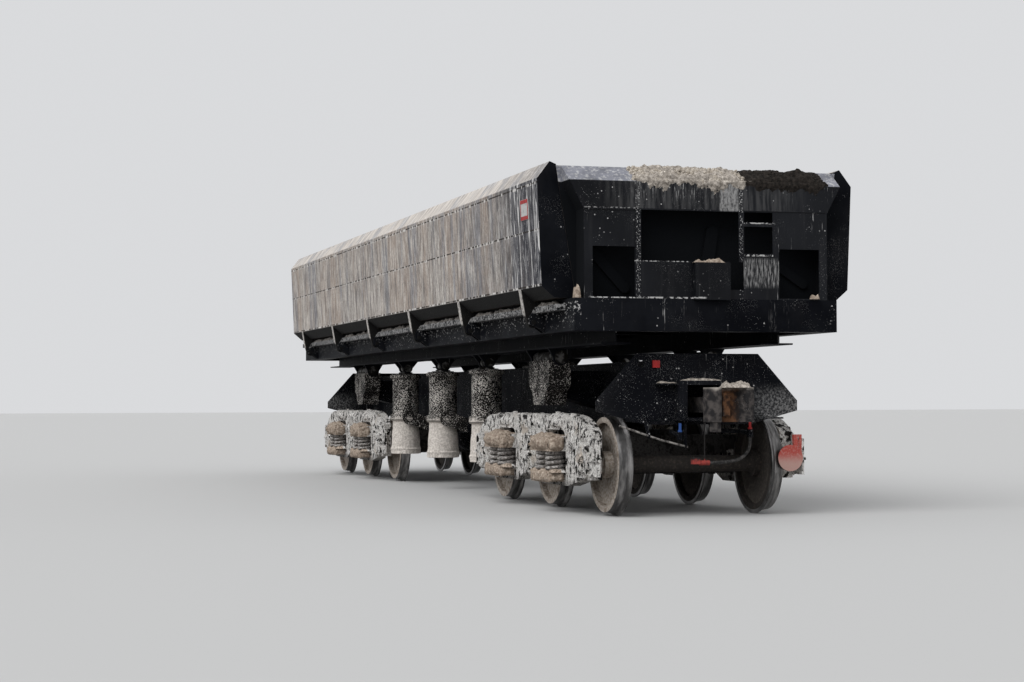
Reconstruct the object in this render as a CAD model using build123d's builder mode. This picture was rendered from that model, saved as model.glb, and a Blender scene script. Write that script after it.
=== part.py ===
from build123d import *
import os
from math import atan2, cos, degrees, hypot, pi, radians, sin, tan

os.makedirs("parts", exist_ok=True)

# Side-tipping wagon on two three-axle bogies, millimetres.
# +X points to the front end, +Y to the left side, +Z up.
# The origin is under the middle of the wagon, at the lowest point of the wheel flanges.

# Wheels and axles
tread_radius = 475
flange_radius = 503
back_to_back = 1440
rim_width = 130
rim_thickness = 62
flange_width = 32
hub_radius = 132
hub_length = 170
wheel_seat_radius = 97
axle_radius = 82
journal_radius = 65
axle_overhang = 230
wheel_inner_y = back_to_back / 2
wheel_outer_y = wheel_inner_y + rim_width
axle_half_length = wheel_outer_y + axle_overhang
web_thickness = 24
running_clearance = 0.05
seat_clearance = 0.3


def above_rail(height):
    """Z of a height that is measured from the rail head."""
    return flange_radius - tread_radius + height


# Bogies
end_axle_x = 6475
axle_pitch = 1800
bogie_x = end_axle_x - axle_pitch
bolster_x = axle_pitch / 2

# Underframe
end_plate_x = 6840
end_plate_thickness = 16
sill_half_width = 300
sill_flange = 30
sill_plate = 20
sill_web = 14
sill_bottom = above_rail(880)
sill_top = above_rail(1500)

# Tipping pivots, on both sides of the wagon
tip_y = 850
tip_z = above_rail(1560)
tip_pin_radius = 70
rod_pin_radius = 50
saddle_half_length = 370
lug_gap = 12
lug_thickness = 36
lug_wall = 15
cylinder_pitch = 2130
cylinder_stations = (-cylinder_pitch, 0, cylinder_pitch)
pivot_stations = (-bogie_x, bogie_x)

# Body of the tipping part
body_end_x = 7120
board_end_x = 6860
frame_bottom = above_rail(1768)
frame_top = above_rail(2080)
floor_half_width = 1240
floor_thickness = 20
sill_overhang = 115
frame_half_width = floor_half_width + sill_overhang
hinge_overhang = 115
board_hinge_y = frame_half_width + hinge_overhang
board_hinge_z = above_rail(1880)
board_pin_radius = 25
rib_pitch = 2440
rib_stations = [rib_pitch * (n - 2.5) for n in range(6)]
rib_thickness = 70

# Coupling
coupler_z = above_rail(1060)
coupler_pivot_x = 6420
coupler_pin_radius = 45
coupler_rest_swing = 7

ends = (("front", 1), ("rear", -1))
sides = (("right", -1), ("left", 1))


def end_view(end_sign, x):
    """Plane across the wagon at x, seen from that end, sketch x to the wagon's side, sketch y up."""
    return Plane(origin=(end_sign * x, 0, 0), x_dir=(0, end_sign, 0), z_dir=(end_sign, 0, 0))


def side_view(y):
    """Plane along the wagon at y, sketch x along +X, sketch y up, facing -Y."""
    return Plane(origin=(0, y, 0), x_dir=(1, 0, 0), z_dir=(0, -1, 0))


def save(builder, name):
    builder.part.label = name
    export_step(builder.part, f"parts/{name}.step")


# Centre sill: two webs between wide plates, open at both ends
sill_length = 2 * (end_plate_x - end_plate_thickness)
sill_height = sill_top - sill_bottom
with BuildPart() as centre_sill:
    with BuildSketch(Plane.YZ.offset(-sill_length / 2)):
        with Locations((0, sill_bottom + sill_plate / 2), (0, sill_top - sill_plate / 2)):
            Rectangle(2 * (sill_half_width + sill_flange), sill_plate)
        with Locations(
            (sill_half_width - sill_web / 2, (sill_bottom + sill_top) / 2),
            (-sill_half_width + sill_web / 2, (sill_bottom + sill_top) / 2),
        ):
            Rectangle(sill_web, sill_height - 2 * sill_plate)
    extrude(amount=sill_length)
save(centre_sill, "centre_sill")

# End plates of the underframe, with a window for the coupler and a lashing hole
plate_top = above_rail(1560)
plate_bottom = above_rail(868)
plate_shoulder_y = 635
plate_edge_y = 1050
plate_foot_y = 545
plate_edge_top = above_rail(1100)
plate_edge_bottom = above_rail(1000)
window_half_width = 165
window_top = above_rail(1253)
window_bottom = above_rail(935)
hole_y = -584
hole_z = above_rail(1457)
hole_radius = 35
step_y = 730
step_half_width = 125
step_reach = 110
step_bar = 18
step_bottom = above_rail(920)
# Uncoupling rod: a round bar across the end, route of y and height above rail
rod_x = end_plate_x + 105
uncoupling_rod_radius = 10
rod_route = ((-848, 860), (-432, 722), (-150, 652))
rod_bend = 60
rod_eye = 24
rod_plate = 16
rod_bearing_y = -550
rod_bearing_root = (plate_bottom + 10, plate_bottom + 90)
rod_hanger_y = -175


def rod_eye_place(y):
    """Z of the uncoupling rod's middle at y, and the bore that the sloping rod needs in its plate."""
    outer, middle, inner = rod_route
    near, far = (outer, middle) if y < middle[0] else (middle, inner)
    slope = (far[1] - near[1]) / (far[0] - near[0])
    bore = uncoupling_rod_radius * hypot(1, slope) + rod_plate / 2 * abs(slope) + seat_clearance
    return above_rail(near[1] + (y - near[0]) * slope), bore


rod_bearing_z, rod_bearing_bore = rod_eye_place(rod_bearing_y)
rod_hanger_z, rod_hanger_bore = rod_eye_place(rod_hanger_y)
for end_name, end_sign in ends:
    with BuildPart() as end_plate:
        with BuildSketch(end_view(end_sign, end_plate_x - end_plate_thickness)):
            with BuildLine():
                Polyline(
                    (-plate_shoulder_y, plate_top),
                    (plate_shoulder_y, plate_top),
                    (plate_edge_y, plate_edge_top),
                    (plate_edge_y, plate_edge_bottom),
                    (plate_foot_y, plate_bottom),
                    (-plate_foot_y, plate_bottom),
                    (-plate_edge_y, plate_edge_bottom),
                    (-plate_edge_y, plate_edge_top),
                    close=True,
                )
            make_face()
            with Locations((0, (window_top + window_bottom) / 2)):
                Rectangle(2 * window_half_width, window_top - window_bottom, mode=Mode.SUBTRACT)
            with Locations((hole_y, hole_z)):
                Circle(hole_radius, mode=Mode.SUBTRACT)
        extrude(amount=end_plate_thickness)
        # A flat step loop stands out from the plate's lower corner
        with BuildSketch(Plane.XY.offset(step_bottom)):
            with Locations((end_sign * (end_plate_x + step_reach / 2), end_sign * step_y)):
                Rectangle(step_reach, 2 * step_half_width)
                Rectangle(step_reach - 2 * step_bar, 2 * (step_half_width - step_bar), mode=Mode.SUBTRACT)
        extrude(amount=step_bar)
        # The uncoupling rod's outer bearing
        with BuildSketch(Plane.XZ.offset(-end_sign * rod_bearing_y - rod_plate / 2)):
            with BuildLine():
                Polyline(
                    (end_sign * (end_plate_x - 1), rod_bearing_root[1]),
                    (end_sign * (rod_x + rod_eye), rod_bearing_z),
                    (end_sign * (rod_x - rod_eye), rod_bearing_z),
                    (end_sign * (end_plate_x - 1), rod_bearing_root[0]),
                    close=True,
                )
            make_face()
            with Locations((end_sign * rod_x, rod_bearing_z)):
                Circle(rod_eye)
                Circle(rod_bearing_bore, mode=Mode.SUBTRACT)
        extrude(amount=rod_plate)
    save(end_plate, f"end_plate_{end_name}")

# Striker frames round the coupler windows, with a small shelf and the uncoupling rod's hanger
striker_depth = 150
striker_half_width = 240
striker_bottom = above_rail(903)
striker_top = above_rail(1295)
striker_chamfer = 40
shelf_inner_y = -240
shelf_outer_y = -444
shelf_z = above_rail(1262)
shelf_thickness = 16
shelf_depth = 90
for end_name, end_sign in ends:
    with BuildPart() as striker:
        with BuildSketch(end_view(end_sign, end_plate_x)):
            with Locations((0, (striker_bottom + striker_top) / 2)):
                Rectangle(2 * striker_half_width, striker_top - striker_bottom)
            with Locations((0, (window_top + window_bottom) / 2)):
                Rectangle(2 * window_half_width, window_top - window_bottom, mode=Mode.SUBTRACT)
        extrude(amount=striker_depth)
        chamfer(
            striker.edges().filter_by(Axis.Z).group_by(Axis.X)[-1 if end_sign == 1 else 0].sort_by(Axis.Y)[0::3],
            length=striker_chamfer,
        )
        with BuildSketch(end_view(end_sign, end_plate_x)):
            with Locations(((shelf_inner_y + shelf_outer_y) / 2, shelf_z)):
                Rectangle(shelf_inner_y - shelf_outer_y, shelf_thickness)
        extrude(amount=shelf_depth)
        with BuildSketch(Plane.XZ.offset(-end_sign * rod_hanger_y - rod_plate / 2)):
            with BuildLine():
                Polyline(
                    (end_sign * (rod_x + rod_eye), striker_bottom),
                    (end_sign * (rod_x + rod_eye), rod_hanger_z),
                    (end_sign * (rod_x - rod_eye), rod_hanger_z),
                    (end_sign * (rod_x - rod_eye), striker_bottom),
                    close=True,
                )
            make_face()
            with Locations((end_sign * rod_x, rod_hanger_z)):
                Circle(rod_eye)
                Circle(rod_hanger_bore, mode=Mode.SUBTRACT)
        extrude(amount=rod_plate)
    save(striker, f"striker_{end_name}")

# Uncoupling rods
with BuildPart() as uncoupling_rods:
    for end_name, end_sign in ends:
        with BuildLine(end_view(end_sign, rod_x)):
            FilletPolyline([(y, above_rail(z)) for y, z in rod_route], radius=rod_bend)
        start_y, start_z = rod_route[0]
        next_y, next_z = rod_route[1]
        rod_start = Plane(
            origin=(end_sign * rod_x, end_sign * start_y, above_rail(start_z)),
            z_dir=(0, end_sign * (next_y - start_y), next_z - start_z),
        )
        with BuildSketch(rod_start):
            Circle(uncoupling_rod_radius)
        sweep()
save(uncoupling_rods, "uncoupling_rods")

# End cocks on bent air pipes that come down from the sill.
# Columns: name, y, height above rail, y where the pipe leaves the sill
cock_x = 7020
cock_radius = 30
cock_half_height = 38
cock_handle_top = 122
cock_spindle_radius = 22
cock_spindle_height = 16
cock_handle_width = 24
cock_handle_thickness = 12
pipe_radius = 21
pipe_start_x = 6600
pipe_bend_x = 6770
pipe_level = above_rail(800)
pipe_bend = 45
cock_table = (("red", 470, 783, 300), ("blue", -257, 760, -150))
with BuildPart() as air_pipes:
    for end_name, end_sign in ends:
        for cock_name, cock_y, cock_z, start_y in cock_table:
            with BuildLine():
                FilletPolyline(
                    (end_sign * pipe_start_x, start_y, sill_bottom),
                    (end_sign * pipe_start_x, start_y, pipe_level),
                    (end_sign * pipe_bend_x, cock_y, pipe_level),
                    (end_sign * (cock_x - cock_radius + 4), cock_y, above_rail(cock_z)),
                    radius=pipe_bend,
                )
            with BuildSketch(Plane.XY.offset(sill_bottom)):
                with Locations((end_sign * pipe_start_x, start_y)):
                    Circle(pipe_radius)
            sweep()
            with BuildSketch(Plane.XY.offset(above_rail(cock_z) - cock_half_height)):
                with Locations((end_sign * cock_x, cock_y)):
                    Circle(cock_radius)
            extrude(amount=2 * cock_half_height)
save(air_pipes, "air_pipes")

for cock_name, cock_y, cock_z, start_y in cock_table:
    with BuildPart() as cock_handles:
        for end_name, end_sign in ends:
            with BuildSketch(Plane.XY.offset(above_rail(cock_z) + cock_half_height)):
                with Locations((end_sign * cock_x, cock_y)):
                    Circle(cock_spindle_radius)
            extrude(amount=cock_spindle_height)
            with BuildSketch(end_view(end_sign, cock_x - cock_handle_thickness / 2)):
                with Locations((end_sign * cock_y, above_rail(cock_z) + cock_half_height)):
                    Rectangle(
                        cock_handle_width, cock_handle_top - cock_half_height, align=(Align.CENTER, Align.MIN)
                    )
            extrude(amount=cock_handle_thickness)
    save(cock_handles, f"cock_handles_{cock_name}")

# Brake hoses: they hang from the red cocks and end in heads hooked up under the strikers.
# Points of the route: y and height above rail
hose_radius = 17
hose_route = ((470, 745), (470, 652), (423, 572), (342, 523), (243, 507), (143, 499), (43, 499))
hose_head_radius = 24
hose_head_end_y = -135
hose_claw_y = -60
hose_hook_radius = 6
hose_hook_y = 15
hose_hook_x = end_plate_x + striker_depth - 20
hose_claw_width = 60
hose_claw_height = 64
hose_claw_lift = 20
for end_name, end_sign in ends:
    with BuildPart() as brake_hose:
        with BuildLine() as hose_line:
            runs = list(zip(hose_route, hose_route[1:]))
            turns = [
                atan2(c[1] - b[1], c[0] - b[0]) - atan2(b[1] - a[1], b[0] - a[0])
                for a, b, c in zip(hose_route, hose_route[1:], hose_route[2:])
            ]
            hose_radii = [
                0.45 * min(hypot(b[0] - a[0], b[1] - a[1]), hypot(c[0] - b[0], c[1] - b[1]))
                / abs(tan(turn / 2))
                for (a, b), (_, c), turn in zip(runs, runs[1:], turns)
            ]
            print("brake hose radii", [round(r) for r in hose_radii])
            FilletPolyline([(end_sign * cock_x, y, above_rail(z)) for y, z in hose_route], radius=hose_radii)
        first, second = hose_route[:2]
        with BuildSketch(
            Plane(
                origin=(end_sign * cock_x, first[0], above_rail(first[1])),
                z_dir=(0, second[0] - first[0], second[1] - first[1]),
            )
        ):
            Circle(hose_radius)
        sweep()
    print("brake hose length", round(sum(edge.length for edge in hose_line.edges())))
    print("brake hose volume over section", round(brake_hose.part.volume / (pi * hose_radius**2)))
    save(brake_hose, f"brake_hose_{end_name}")

    head_y, head_z = hose_route[-1]
    with BuildPart() as hose_head:
        with BuildSketch(Plane.XZ.offset(-head_y)):
            with Locations((end_sign * cock_x, above_rail(head_z))):
                Circle(hose_head_radius)
        extrude(amount=head_y - hose_claw_y)
        with BuildSketch(Plane.XZ.offset(-hose_claw_y)):
            with Locations((end_sign * cock_x, above_rail(head_z + hose_claw_lift))):
                Rectangle(hose_claw_width, hose_claw_height)
        extrude(amount=hose_claw_y - hose_head_end_y)
        with BuildSketch(Plane.XY.offset(above_rail(head_z))):
            with Locations((end_sign * hose_hook_x, hose_hook_y)):
                Circle(hose_hook_radius)
        extrude(amount=striker_bottom - above_rail(head_z))
        with BuildSketch(Plane.YZ.offset(end_sign * (hose_hook_x - hose_hook_radius))):
            with Locations((hose_hook_y, above_rail(head_z) + hose_hook_radius)):
                Rectangle(2 * hose_hook_radius, 2 * hose_hook_radius)
        extrude(amount=end_sign * (cock_x - hose_hook_x + hose_hook_radius))
    save(hose_head, f"hose_head_{end_name}")

# Draft gear: the yoke and pin that hold each coupler's tail
yoke_half_length = 150
shank_half_width = 60
shank_half_height = 75
shank_gap = 8
draft_top = above_rail(1240)
draft_stop_length = 240
inner_half_width = sill_half_width - sill_web
for end_name, end_sign in ends:
    with BuildPart() as draft_gear:
        for low, high in (
            (sill_bottom + sill_plate, coupler_z - shank_half_height - shank_gap),
            (coupler_z + shank_half_height + shank_gap, draft_top),
        ):
            with BuildSketch(Plane.XY.offset(low)):
                with Locations((end_sign * coupler_pivot_x, 0)):
                    Rectangle(2 * yoke_half_length, 2 * inner_half_width)
            extrude(amount=high - low)
        with BuildSketch(Plane.XY.offset(sill_bottom + sill_plate)):
            with Locations((end_sign * (coupler_pivot_x - yoke_half_length - draft_stop_length / 2), 0)):
                Rectangle(draft_stop_length, 2 * inner_half_width)
        extrude(amount=draft_top - sill_bottom - sill_plate)
        with BuildSketch(Plane.XY.offset(sill_bottom + sill_plate)):
            with Locations((end_sign * coupler_pivot_x, 0)):
                Circle(coupler_pin_radius - running_clearance)
        extrude(amount=draft_top - sill_bottom - sill_plate)
    save(draft_gear, f"draft_gear_{end_name}")

# Couplers: a shank on a vertical pin and a claw head with a big and a small tooth.
# They hang swung a little to one side. Distances run from the pin along the shank.
head_start = 600
head_half_height = 165
lock_half_height = 110
guide_drop = 260
shank_eye_radius = 90


def coupler_plane(end_sign, height):
    """Level plane at a height over the coupler's middle, sketch x along the shank."""
    swing = radians(coupler_rest_swing)
    return Plane(
        origin=(end_sign * coupler_pivot_x, 0, coupler_z + height),
        x_dir=(end_sign * cos(swing), end_sign * sin(swing), 0),
        z_dir=(0, 0, 1),
    )


for end_name, end_sign in ends:
    with BuildPart() as coupler:
        with BuildSketch(coupler_plane(end_sign, -shank_half_height)):
            with Locations((head_start / 2, 0)):
                Rectangle(head_start, 2 * shank_half_width)
            Circle(shank_eye_radius)
            Circle(coupler_pin_radius, mode=Mode.SUBTRACT)
        extrude(amount=2 * shank_half_height)
        with BuildSketch(coupler_plane(end_sign, -head_half_height)):
            with BuildLine():
                Line((head_start, -75), (head_start, 75))
                Line((head_start, 75), (700, 130))
                ThreePointArc((700, 130), (780, 205), (880, 228))
                Line((880, 228), (1000, 238))
                ThreePointArc((1000, 238), (1024, 226), (1030, 200))
                Line((1030, 200), (1026, 150))
                Line((1026, 150), (915, 110))
                ThreePointArc((915, 110), (868, 85), (850, 45))
                Line((850, 45), (846, -45))
                ThreePointArc((846, -45), (856, -75), (890, -86))
                Line((890, -86), (985, -100))
                ThreePointArc((985, -100), (1000, -125), (985, -155))
                Line((985, -155), (900, -205))
                Line((900, -205), (780, -190))
                Line((780, -190), (head_start, -75))
            make_face()
        extrude(amount=2 * head_half_height)
        # The lock stands out of the throat
        with BuildSketch(coupler_plane(end_sign, -lock_half_height)):
            with Locations((870, -5)):
                Rectangle(70, 76)
        extrude(amount=2 * lock_half_height)
        # The small tooth's guide plate reaches down below the head
        with BuildSketch(coupler_plane(end_sign, -guide_drop)):
            with BuildLine():
                Polyline((890, -92), (975, -106), (975, -150), (890, -180), close=True)
            make_face()
        extrude(amount=guide_drop)
    save(coupler, f"coupler_{end_name}")

# Bolster arms: hollow brackets from the sill's webs out to the pivot saddles
arm_end_y = 730
arm_half_width = 200
arm_wall = 16
arm_top = above_rail(1420)
arm_root_bottom = above_rail(1020)
arm_tip_bottom = above_rail(1130)
with BuildPart() as bolster_arms:
    for station in pivot_stations:
        for side_name, side_sign in sides:
            with BuildSketch(Plane.YZ.offset(station - arm_half_width)):
                with BuildLine():
                    Polyline(
                        (side_sign * sill_half_width, arm_root_bottom),
                        (side_sign * arm_end_y, arm_tip_bottom),
                        (side_sign * arm_end_y, arm_top),
                        (side_sign * sill_half_width, arm_top),
                        close=True,
                    )
                make_face()
            extrude(amount=2 * arm_half_width)
            with BuildSketch(Plane.YZ.offset(station - arm_half_width + arm_wall)):
                with BuildLine():
                    Polyline(
                        (side_sign * sill_half_width, arm_root_bottom + arm_wall),
                        (side_sign * (arm_end_y - arm_wall), arm_tip_bottom + arm_wall),
                        (side_sign * (arm_end_y - arm_wall), arm_top - arm_wall),
                        (side_sign * sill_half_width, arm_top - arm_wall),
                        close=True,
                    )
                make_face()
            extrude(amount=2 * (arm_half_width - arm_wall), mode=Mode.SUBTRACT)
save(bolster_arms, "bolster_arms")

# Pivot saddles: open-topped blocks with a narrower stem, one for each tipping pin
saddle_top = tip_z - 30
saddle_half_width = 120
stem_flare = 40
saddle_shoulder = above_rail(1265)
saddle_step = above_rail(1190)
saddle_bottom = above_rail(1060)
stem_half_length = 200
with BuildPart() as pivot_saddles:
    for station in pivot_stations:
        for side_name, side_sign in sides:
            with BuildSketch(side_view(tip_y * side_sign + saddle_half_width)):
                with BuildLine():
                    Polyline(
                        (station - saddle_half_length, saddle_top),
                        (station + saddle_half_length, saddle_top),
                        (station + saddle_half_length, saddle_shoulder),
                        (station + stem_half_length + stem_flare, saddle_step),
                        (station + stem_half_length, saddle_bottom),
                        (station - stem_half_length, saddle_bottom),
                        (station - stem_half_length - stem_flare, saddle_step),
                        (station - saddle_half_length, saddle_shoulder),
                        close=True,
                    )
                make_face()
            extrude(amount=2 * saddle_half_width)
            with BuildSketch(Plane.YZ.offset(station - saddle_half_length)):
                with Locations((tip_y * side_sign, tip_z)):
                    Circle(tip_pin_radius + seat_clearance)
            extrude(amount=2 * saddle_half_length, mode=Mode.SUBTRACT)
save(pivot_saddles, "pivot_saddles")

# Centre plates under the sill, one over each bogie
centre_plate_radius = 190
centre_plate_depth = 22
king_pin_radius = 45
king_pin_length = 120
bowl_floor = sill_bottom - centre_plate_depth - seat_clearance
with BuildPart() as centre_plates:
    for station in pivot_stations:
        with BuildSketch(Plane.XY.offset(sill_bottom - centre_plate_depth)):
            with Locations((station, 0)):
                Circle(centre_plate_radius)
        extrude(amount=centre_plate_depth)
        with BuildSketch(Plane.XY.offset(sill_bottom - centre_plate_depth - king_pin_length)):
            with Locations((station, 0)):
                Circle(king_pin_radius)
        extrude(amount=king_pin_length)
save(centre_plates, "centre_plates")

# Cylinder beams: cross boxes under the sill
barrel_radius = 180
barrel_ring_radius = 212
trunnion_z = above_rail(880)
trunnion_radius = 45
trunnion_overrun = 10
stage_gap = 0.5
ear_inner = barrel_ring_radius + 8
ear_thickness = 22
ear_radius = 95
beam_half_width = ear_inner + ear_thickness
beam_bottom = above_rail(700)
beam_end_y = 588
beam_wall = 16
with BuildPart() as cylinder_beams:
    for station in cylinder_stations:
        with BuildSketch(Plane.XZ.offset(-beam_end_y)):
            with Locations((station, (beam_bottom + sill_bottom) / 2)):
                Rectangle(2 * beam_half_width, sill_bottom - beam_bottom)
                Rectangle(
                    2 * (beam_half_width - beam_wall), sill_bottom - beam_bottom - 2 * beam_wall, mode=Mode.SUBTRACT
                )
        extrude(amount=2 * beam_end_y)
save(cylinder_beams, "cylinder_beams")

# Trunnion ears on the ends of the cylinder beams
with BuildPart() as trunnion_ears:
    for station in cylinder_stations:
        for side_name, side_sign in sides:
            for ear_x in (-beam_half_width, ear_inner):
                with BuildSketch(Plane.YZ.offset(station + ear_x)):
                    with BuildLine():
                        Polyline(
                            (side_sign * beam_end_y, beam_bottom),
                            (side_sign * tip_y, trunnion_z - ear_radius),
                            (side_sign * tip_y, trunnion_z + ear_radius),
                            (side_sign * beam_end_y, sill_bottom),
                            close=True,
                        )
                    make_face()
                    with Locations((side_sign * tip_y, trunnion_z)):
                        Circle(ear_radius)
                        Circle(trunnion_radius + running_clearance, mode=Mode.SUBTRACT)
                extrude(amount=ear_thickness)
save(trunnion_ears, "trunnion_ears")

# Telescopic cylinders: barrels on trunnions, a middle stage and a rod under each pin
barrel_bottom = above_rail(380)
barrel_top = above_rail(1480)
stage_radius = 142
rod_radius = 96
stage_bottom = barrel_bottom + 60
stage_top = barrel_top + 10
barrel_floor_gap = 20
trunnion_root = barrel_radius - 20
rod_bottom = stage_bottom + 12
rod_head_gap = 2
rod_top = tip_z - rod_pin_radius - rod_head_gap
for side_name, side_sign in sides:
    with BuildPart() as barrels:
        for station in cylinder_stations:
            barrel_plane = Plane(origin=(station, side_sign * tip_y, 0), x_dir=(1, 0, 0), z_dir=(0, -1, 0))
            with BuildSketch(barrel_plane):
                with BuildLine():
                    Polyline(
                        (0, barrel_bottom),
                        (barrel_ring_radius - 20, barrel_bottom),
                        (barrel_ring_radius, barrel_bottom + 70),
                        (barrel_radius, barrel_bottom + 120),
                        (barrel_radius, trunnion_z - 50),
                        (barrel_ring_radius, trunnion_z - 35),
                        (barrel_ring_radius, trunnion_z + 35),
                        (barrel_radius, trunnion_z + 50),
                        (barrel_radius, barrel_top - 60),
                        (barrel_ring_radius, barrel_top - 50),
                        (barrel_ring_radius, barrel_top - 12),
                        (barrel_ring_radius - 30, barrel_top),
                        (stage_radius + stage_gap, barrel_top),
                        (stage_radius + stage_gap, stage_bottom - barrel_floor_gap),
                        (0, stage_bottom - barrel_floor_gap),
                        close=True,
                    )
                make_face()
            revolve(axis=Axis((station, side_sign * tip_y, 0), (0, 0, 1)))
            for pin_x in (-1, 1):
                with BuildSketch(Plane.YZ.offset(station + pin_x * trunnion_root)):
                    with Locations((side_sign * tip_y, trunnion_z)):
                        Circle(trunnion_radius)
                extrude(amount=pin_x * (beam_half_width + trunnion_overrun - trunnion_root))
    save(barrels, f"cylinder_barrels_{side_name}")

    with BuildPart() as stages:
        for station in cylinder_stations:
            with BuildSketch(Plane.XY.offset(stage_bottom)):
                with Locations((station, side_sign * tip_y)):
                    Circle(stage_radius)
                    Circle(rod_radius + stage_gap, mode=Mode.SUBTRACT)
            extrude(amount=stage_top - stage_bottom)
    save(stages, f"cylinder_stages_{side_name}")

    with BuildPart() as rods:
        for station in cylinder_stations:
            with BuildSketch(Plane.XY.offset(rod_bottom)):
                with Locations((station, side_sign * tip_y)):
                    Circle(rod_radius)
            extrude(amount=rod_top - rod_bottom)
            chamfer(rods.edges().group_by(Axis.Z)[-1].sort_by(Axis.X)[-1:], length=6)
    save(rods, f"cylinder_rods_{side_name}")

# Pins of the tipping axes: long ones over the saddles, short ones over the rods
pivot_lug_inner = saddle_half_length + lug_gap
rod_lug_inner = rod_radius + lug_gap
pin_end = 8
pin_rows = [(station, tip_pin_radius, pivot_lug_inner) for station in pivot_stations]
pin_rows += [(station, rod_pin_radius, rod_lug_inner) for station in cylinder_stations]
for side_name, side_sign in sides:
    with BuildPart() as tip_pins:
        for station, pin_radius, lug_inner in pin_rows:
            pin_half_length = lug_inner + lug_thickness + pin_end
            with BuildSketch(Plane.YZ.offset(station - pin_half_length)):
                with Locations((side_sign * tip_y, tip_z)):
                    Circle(pin_radius)
            extrude(amount=2 * pin_half_length)
    save(tip_pins, f"tip_pins_{side_name}")

# Upper frame: side sills, stringers over the pins, cross beams, end beams and hinge brackets
side_sill_width = 175
side_sill_wall = 12
cross_beam_stations = [rib_pitch / 2 * (n - 5) for n in range(11)]
cross_beam_flange = 160
cross_beam_web = 14
cross_beam_bottom = above_rail(1850)
flange_plate = 16
side_sill_inner = frame_half_width - side_sill_width
stringer_bottom = above_rail(1650)
stringer_half_width = 150
end_beam_wall = 12
ledge_edge = board_hinge_y - 18
ledge_top = above_rail(2030)
ledge_thickness = 60
bracket_gap = 8
bracket_thickness = 20
bracket_inner = rib_thickness / 2 + bracket_gap
bracket_edge = board_hinge_y + 48
ledge_cut_width = 200
with BuildPart() as upper_frame:
    for side_name, side_sign in sides:
        with BuildSketch(Plane.YZ.offset(-board_end_x)):
            with Locations((side_sign * (frame_half_width - side_sill_width / 2), (frame_bottom + frame_top) / 2)):
                Rectangle(side_sill_width, frame_top - frame_bottom)
                Rectangle(
                    side_sill_width - 2 * side_sill_wall,
                    frame_top - frame_bottom - 2 * side_sill_wall,
                    mode=Mode.SUBTRACT,
                )
            with Locations((side_sign * (frame_half_width + ledge_edge) / 2, ledge_top - ledge_thickness / 2)):
                Rectangle(ledge_edge - frame_half_width, ledge_thickness)
            with Locations((side_sign * tip_y, (stringer_bottom + frame_top) / 2)):
                Rectangle(cross_beam_web, frame_top - stringer_bottom)
            with Locations(
                (side_sign * tip_y, stringer_bottom + flange_plate / 2),
                (side_sign * tip_y, frame_top - flange_plate / 2),
            ):
                Rectangle(2 * stringer_half_width, flange_plate)
        extrude(amount=2 * board_end_x)
        for station in rib_stations:
            with BuildSketch(Plane.YZ.offset(station - bracket_inner)):
                with Locations((side_sign * (frame_half_width + ledge_cut_width / 2), ledge_top - ledge_thickness / 2)):
                    Rectangle(ledge_cut_width, 2 * ledge_thickness)
            extrude(amount=2 * bracket_inner, mode=Mode.SUBTRACT)
            for bracket_x in (-bracket_inner - bracket_thickness, bracket_inner):
                with BuildSketch(Plane.YZ.offset(station + bracket_x)):
                    with BuildLine():
                        Polyline(
                            (side_sign * (frame_half_width - 1), frame_bottom + 6),
                            (side_sign * (board_hinge_y - 30), board_hinge_z - 48),
                            (side_sign * bracket_edge, board_hinge_z - 18),
                            (side_sign * bracket_edge, board_hinge_z + 45),
                            (side_sign * ledge_edge, ledge_top),
                            (side_sign * (frame_half_width - 1), ledge_top),
                            close=True,
                        )
                    make_face()
                    with Locations((side_sign * board_hinge_y, board_hinge_z)):
                        Circle(board_pin_radius + running_clearance, mode=Mode.SUBTRACT)
                extrude(amount=bracket_thickness)
    for station in cross_beam_stations:
        with BuildSketch(side_view(side_sill_inner)):
            with Locations((station, frame_top - flange_plate / 2), (station, cross_beam_bottom + flange_plate / 2)):
                Rectangle(cross_beam_flange, flange_plate)
            with Locations((station, (frame_top + cross_beam_bottom) / 2)):
                Rectangle(cross_beam_web, frame_top - cross_beam_bottom)
        extrude(amount=2 * side_sill_inner)
    for end_name, end_sign in ends:
        with BuildSketch(end_view(end_sign, board_end_x)):
            with Locations((0, (frame_bottom + frame_top) / 2)):
                Rectangle(2 * frame_half_width, frame_top - frame_bottom)
        extrude(amount=body_end_x - board_end_x)
        with BuildSketch(end_view(end_sign, board_end_x)):
            with Locations((0, (frame_bottom + frame_top) / 2)):
                Rectangle(2 * (frame_half_width - end_beam_wall), frame_top - frame_bottom - 2 * end_beam_wall)
        extrude(amount=body_end_x - board_end_x - end_beam_wall, mode=Mode.SUBTRACT)
save(upper_frame, "upper_frame")

# Lugs under the stringers that hold the pins
lug_root_half_width = 140
with BuildPart() as tip_lugs:
    for side_name, side_sign in sides:
        for station, pin_radius, lug_inner in pin_rows:
            for lug_x in (-lug_inner - lug_thickness, lug_inner):
                with BuildSketch(Plane.YZ.offset(station + lug_x)):
                    with BuildLine():
                        Polyline(
                            (side_sign * tip_y - lug_root_half_width, stringer_bottom),
                            (side_sign * tip_y - pin_radius - lug_wall, tip_z),
                            (side_sign * tip_y + pin_radius + lug_wall, tip_z),
                            (side_sign * tip_y + lug_root_half_width, stringer_bottom),
                            close=True,
                        )
                    make_face()
                    with Locations((side_sign * tip_y, tip_z)):
                        Circle(pin_radius + lug_wall)
                        Circle(pin_radius + running_clearance, mode=Mode.SUBTRACT)
                extrude(amount=lug_thickness)
save(tip_lugs, "tip_lugs")

# Floor of the load space
with BuildPart() as floor:
    with BuildSketch(Plane.XY.offset(frame_top)):
        Rectangle(2 * board_end_x, 2 * floor_half_width)
    extrude(amount=floor_thickness)
save(floor, "floor")

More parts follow.
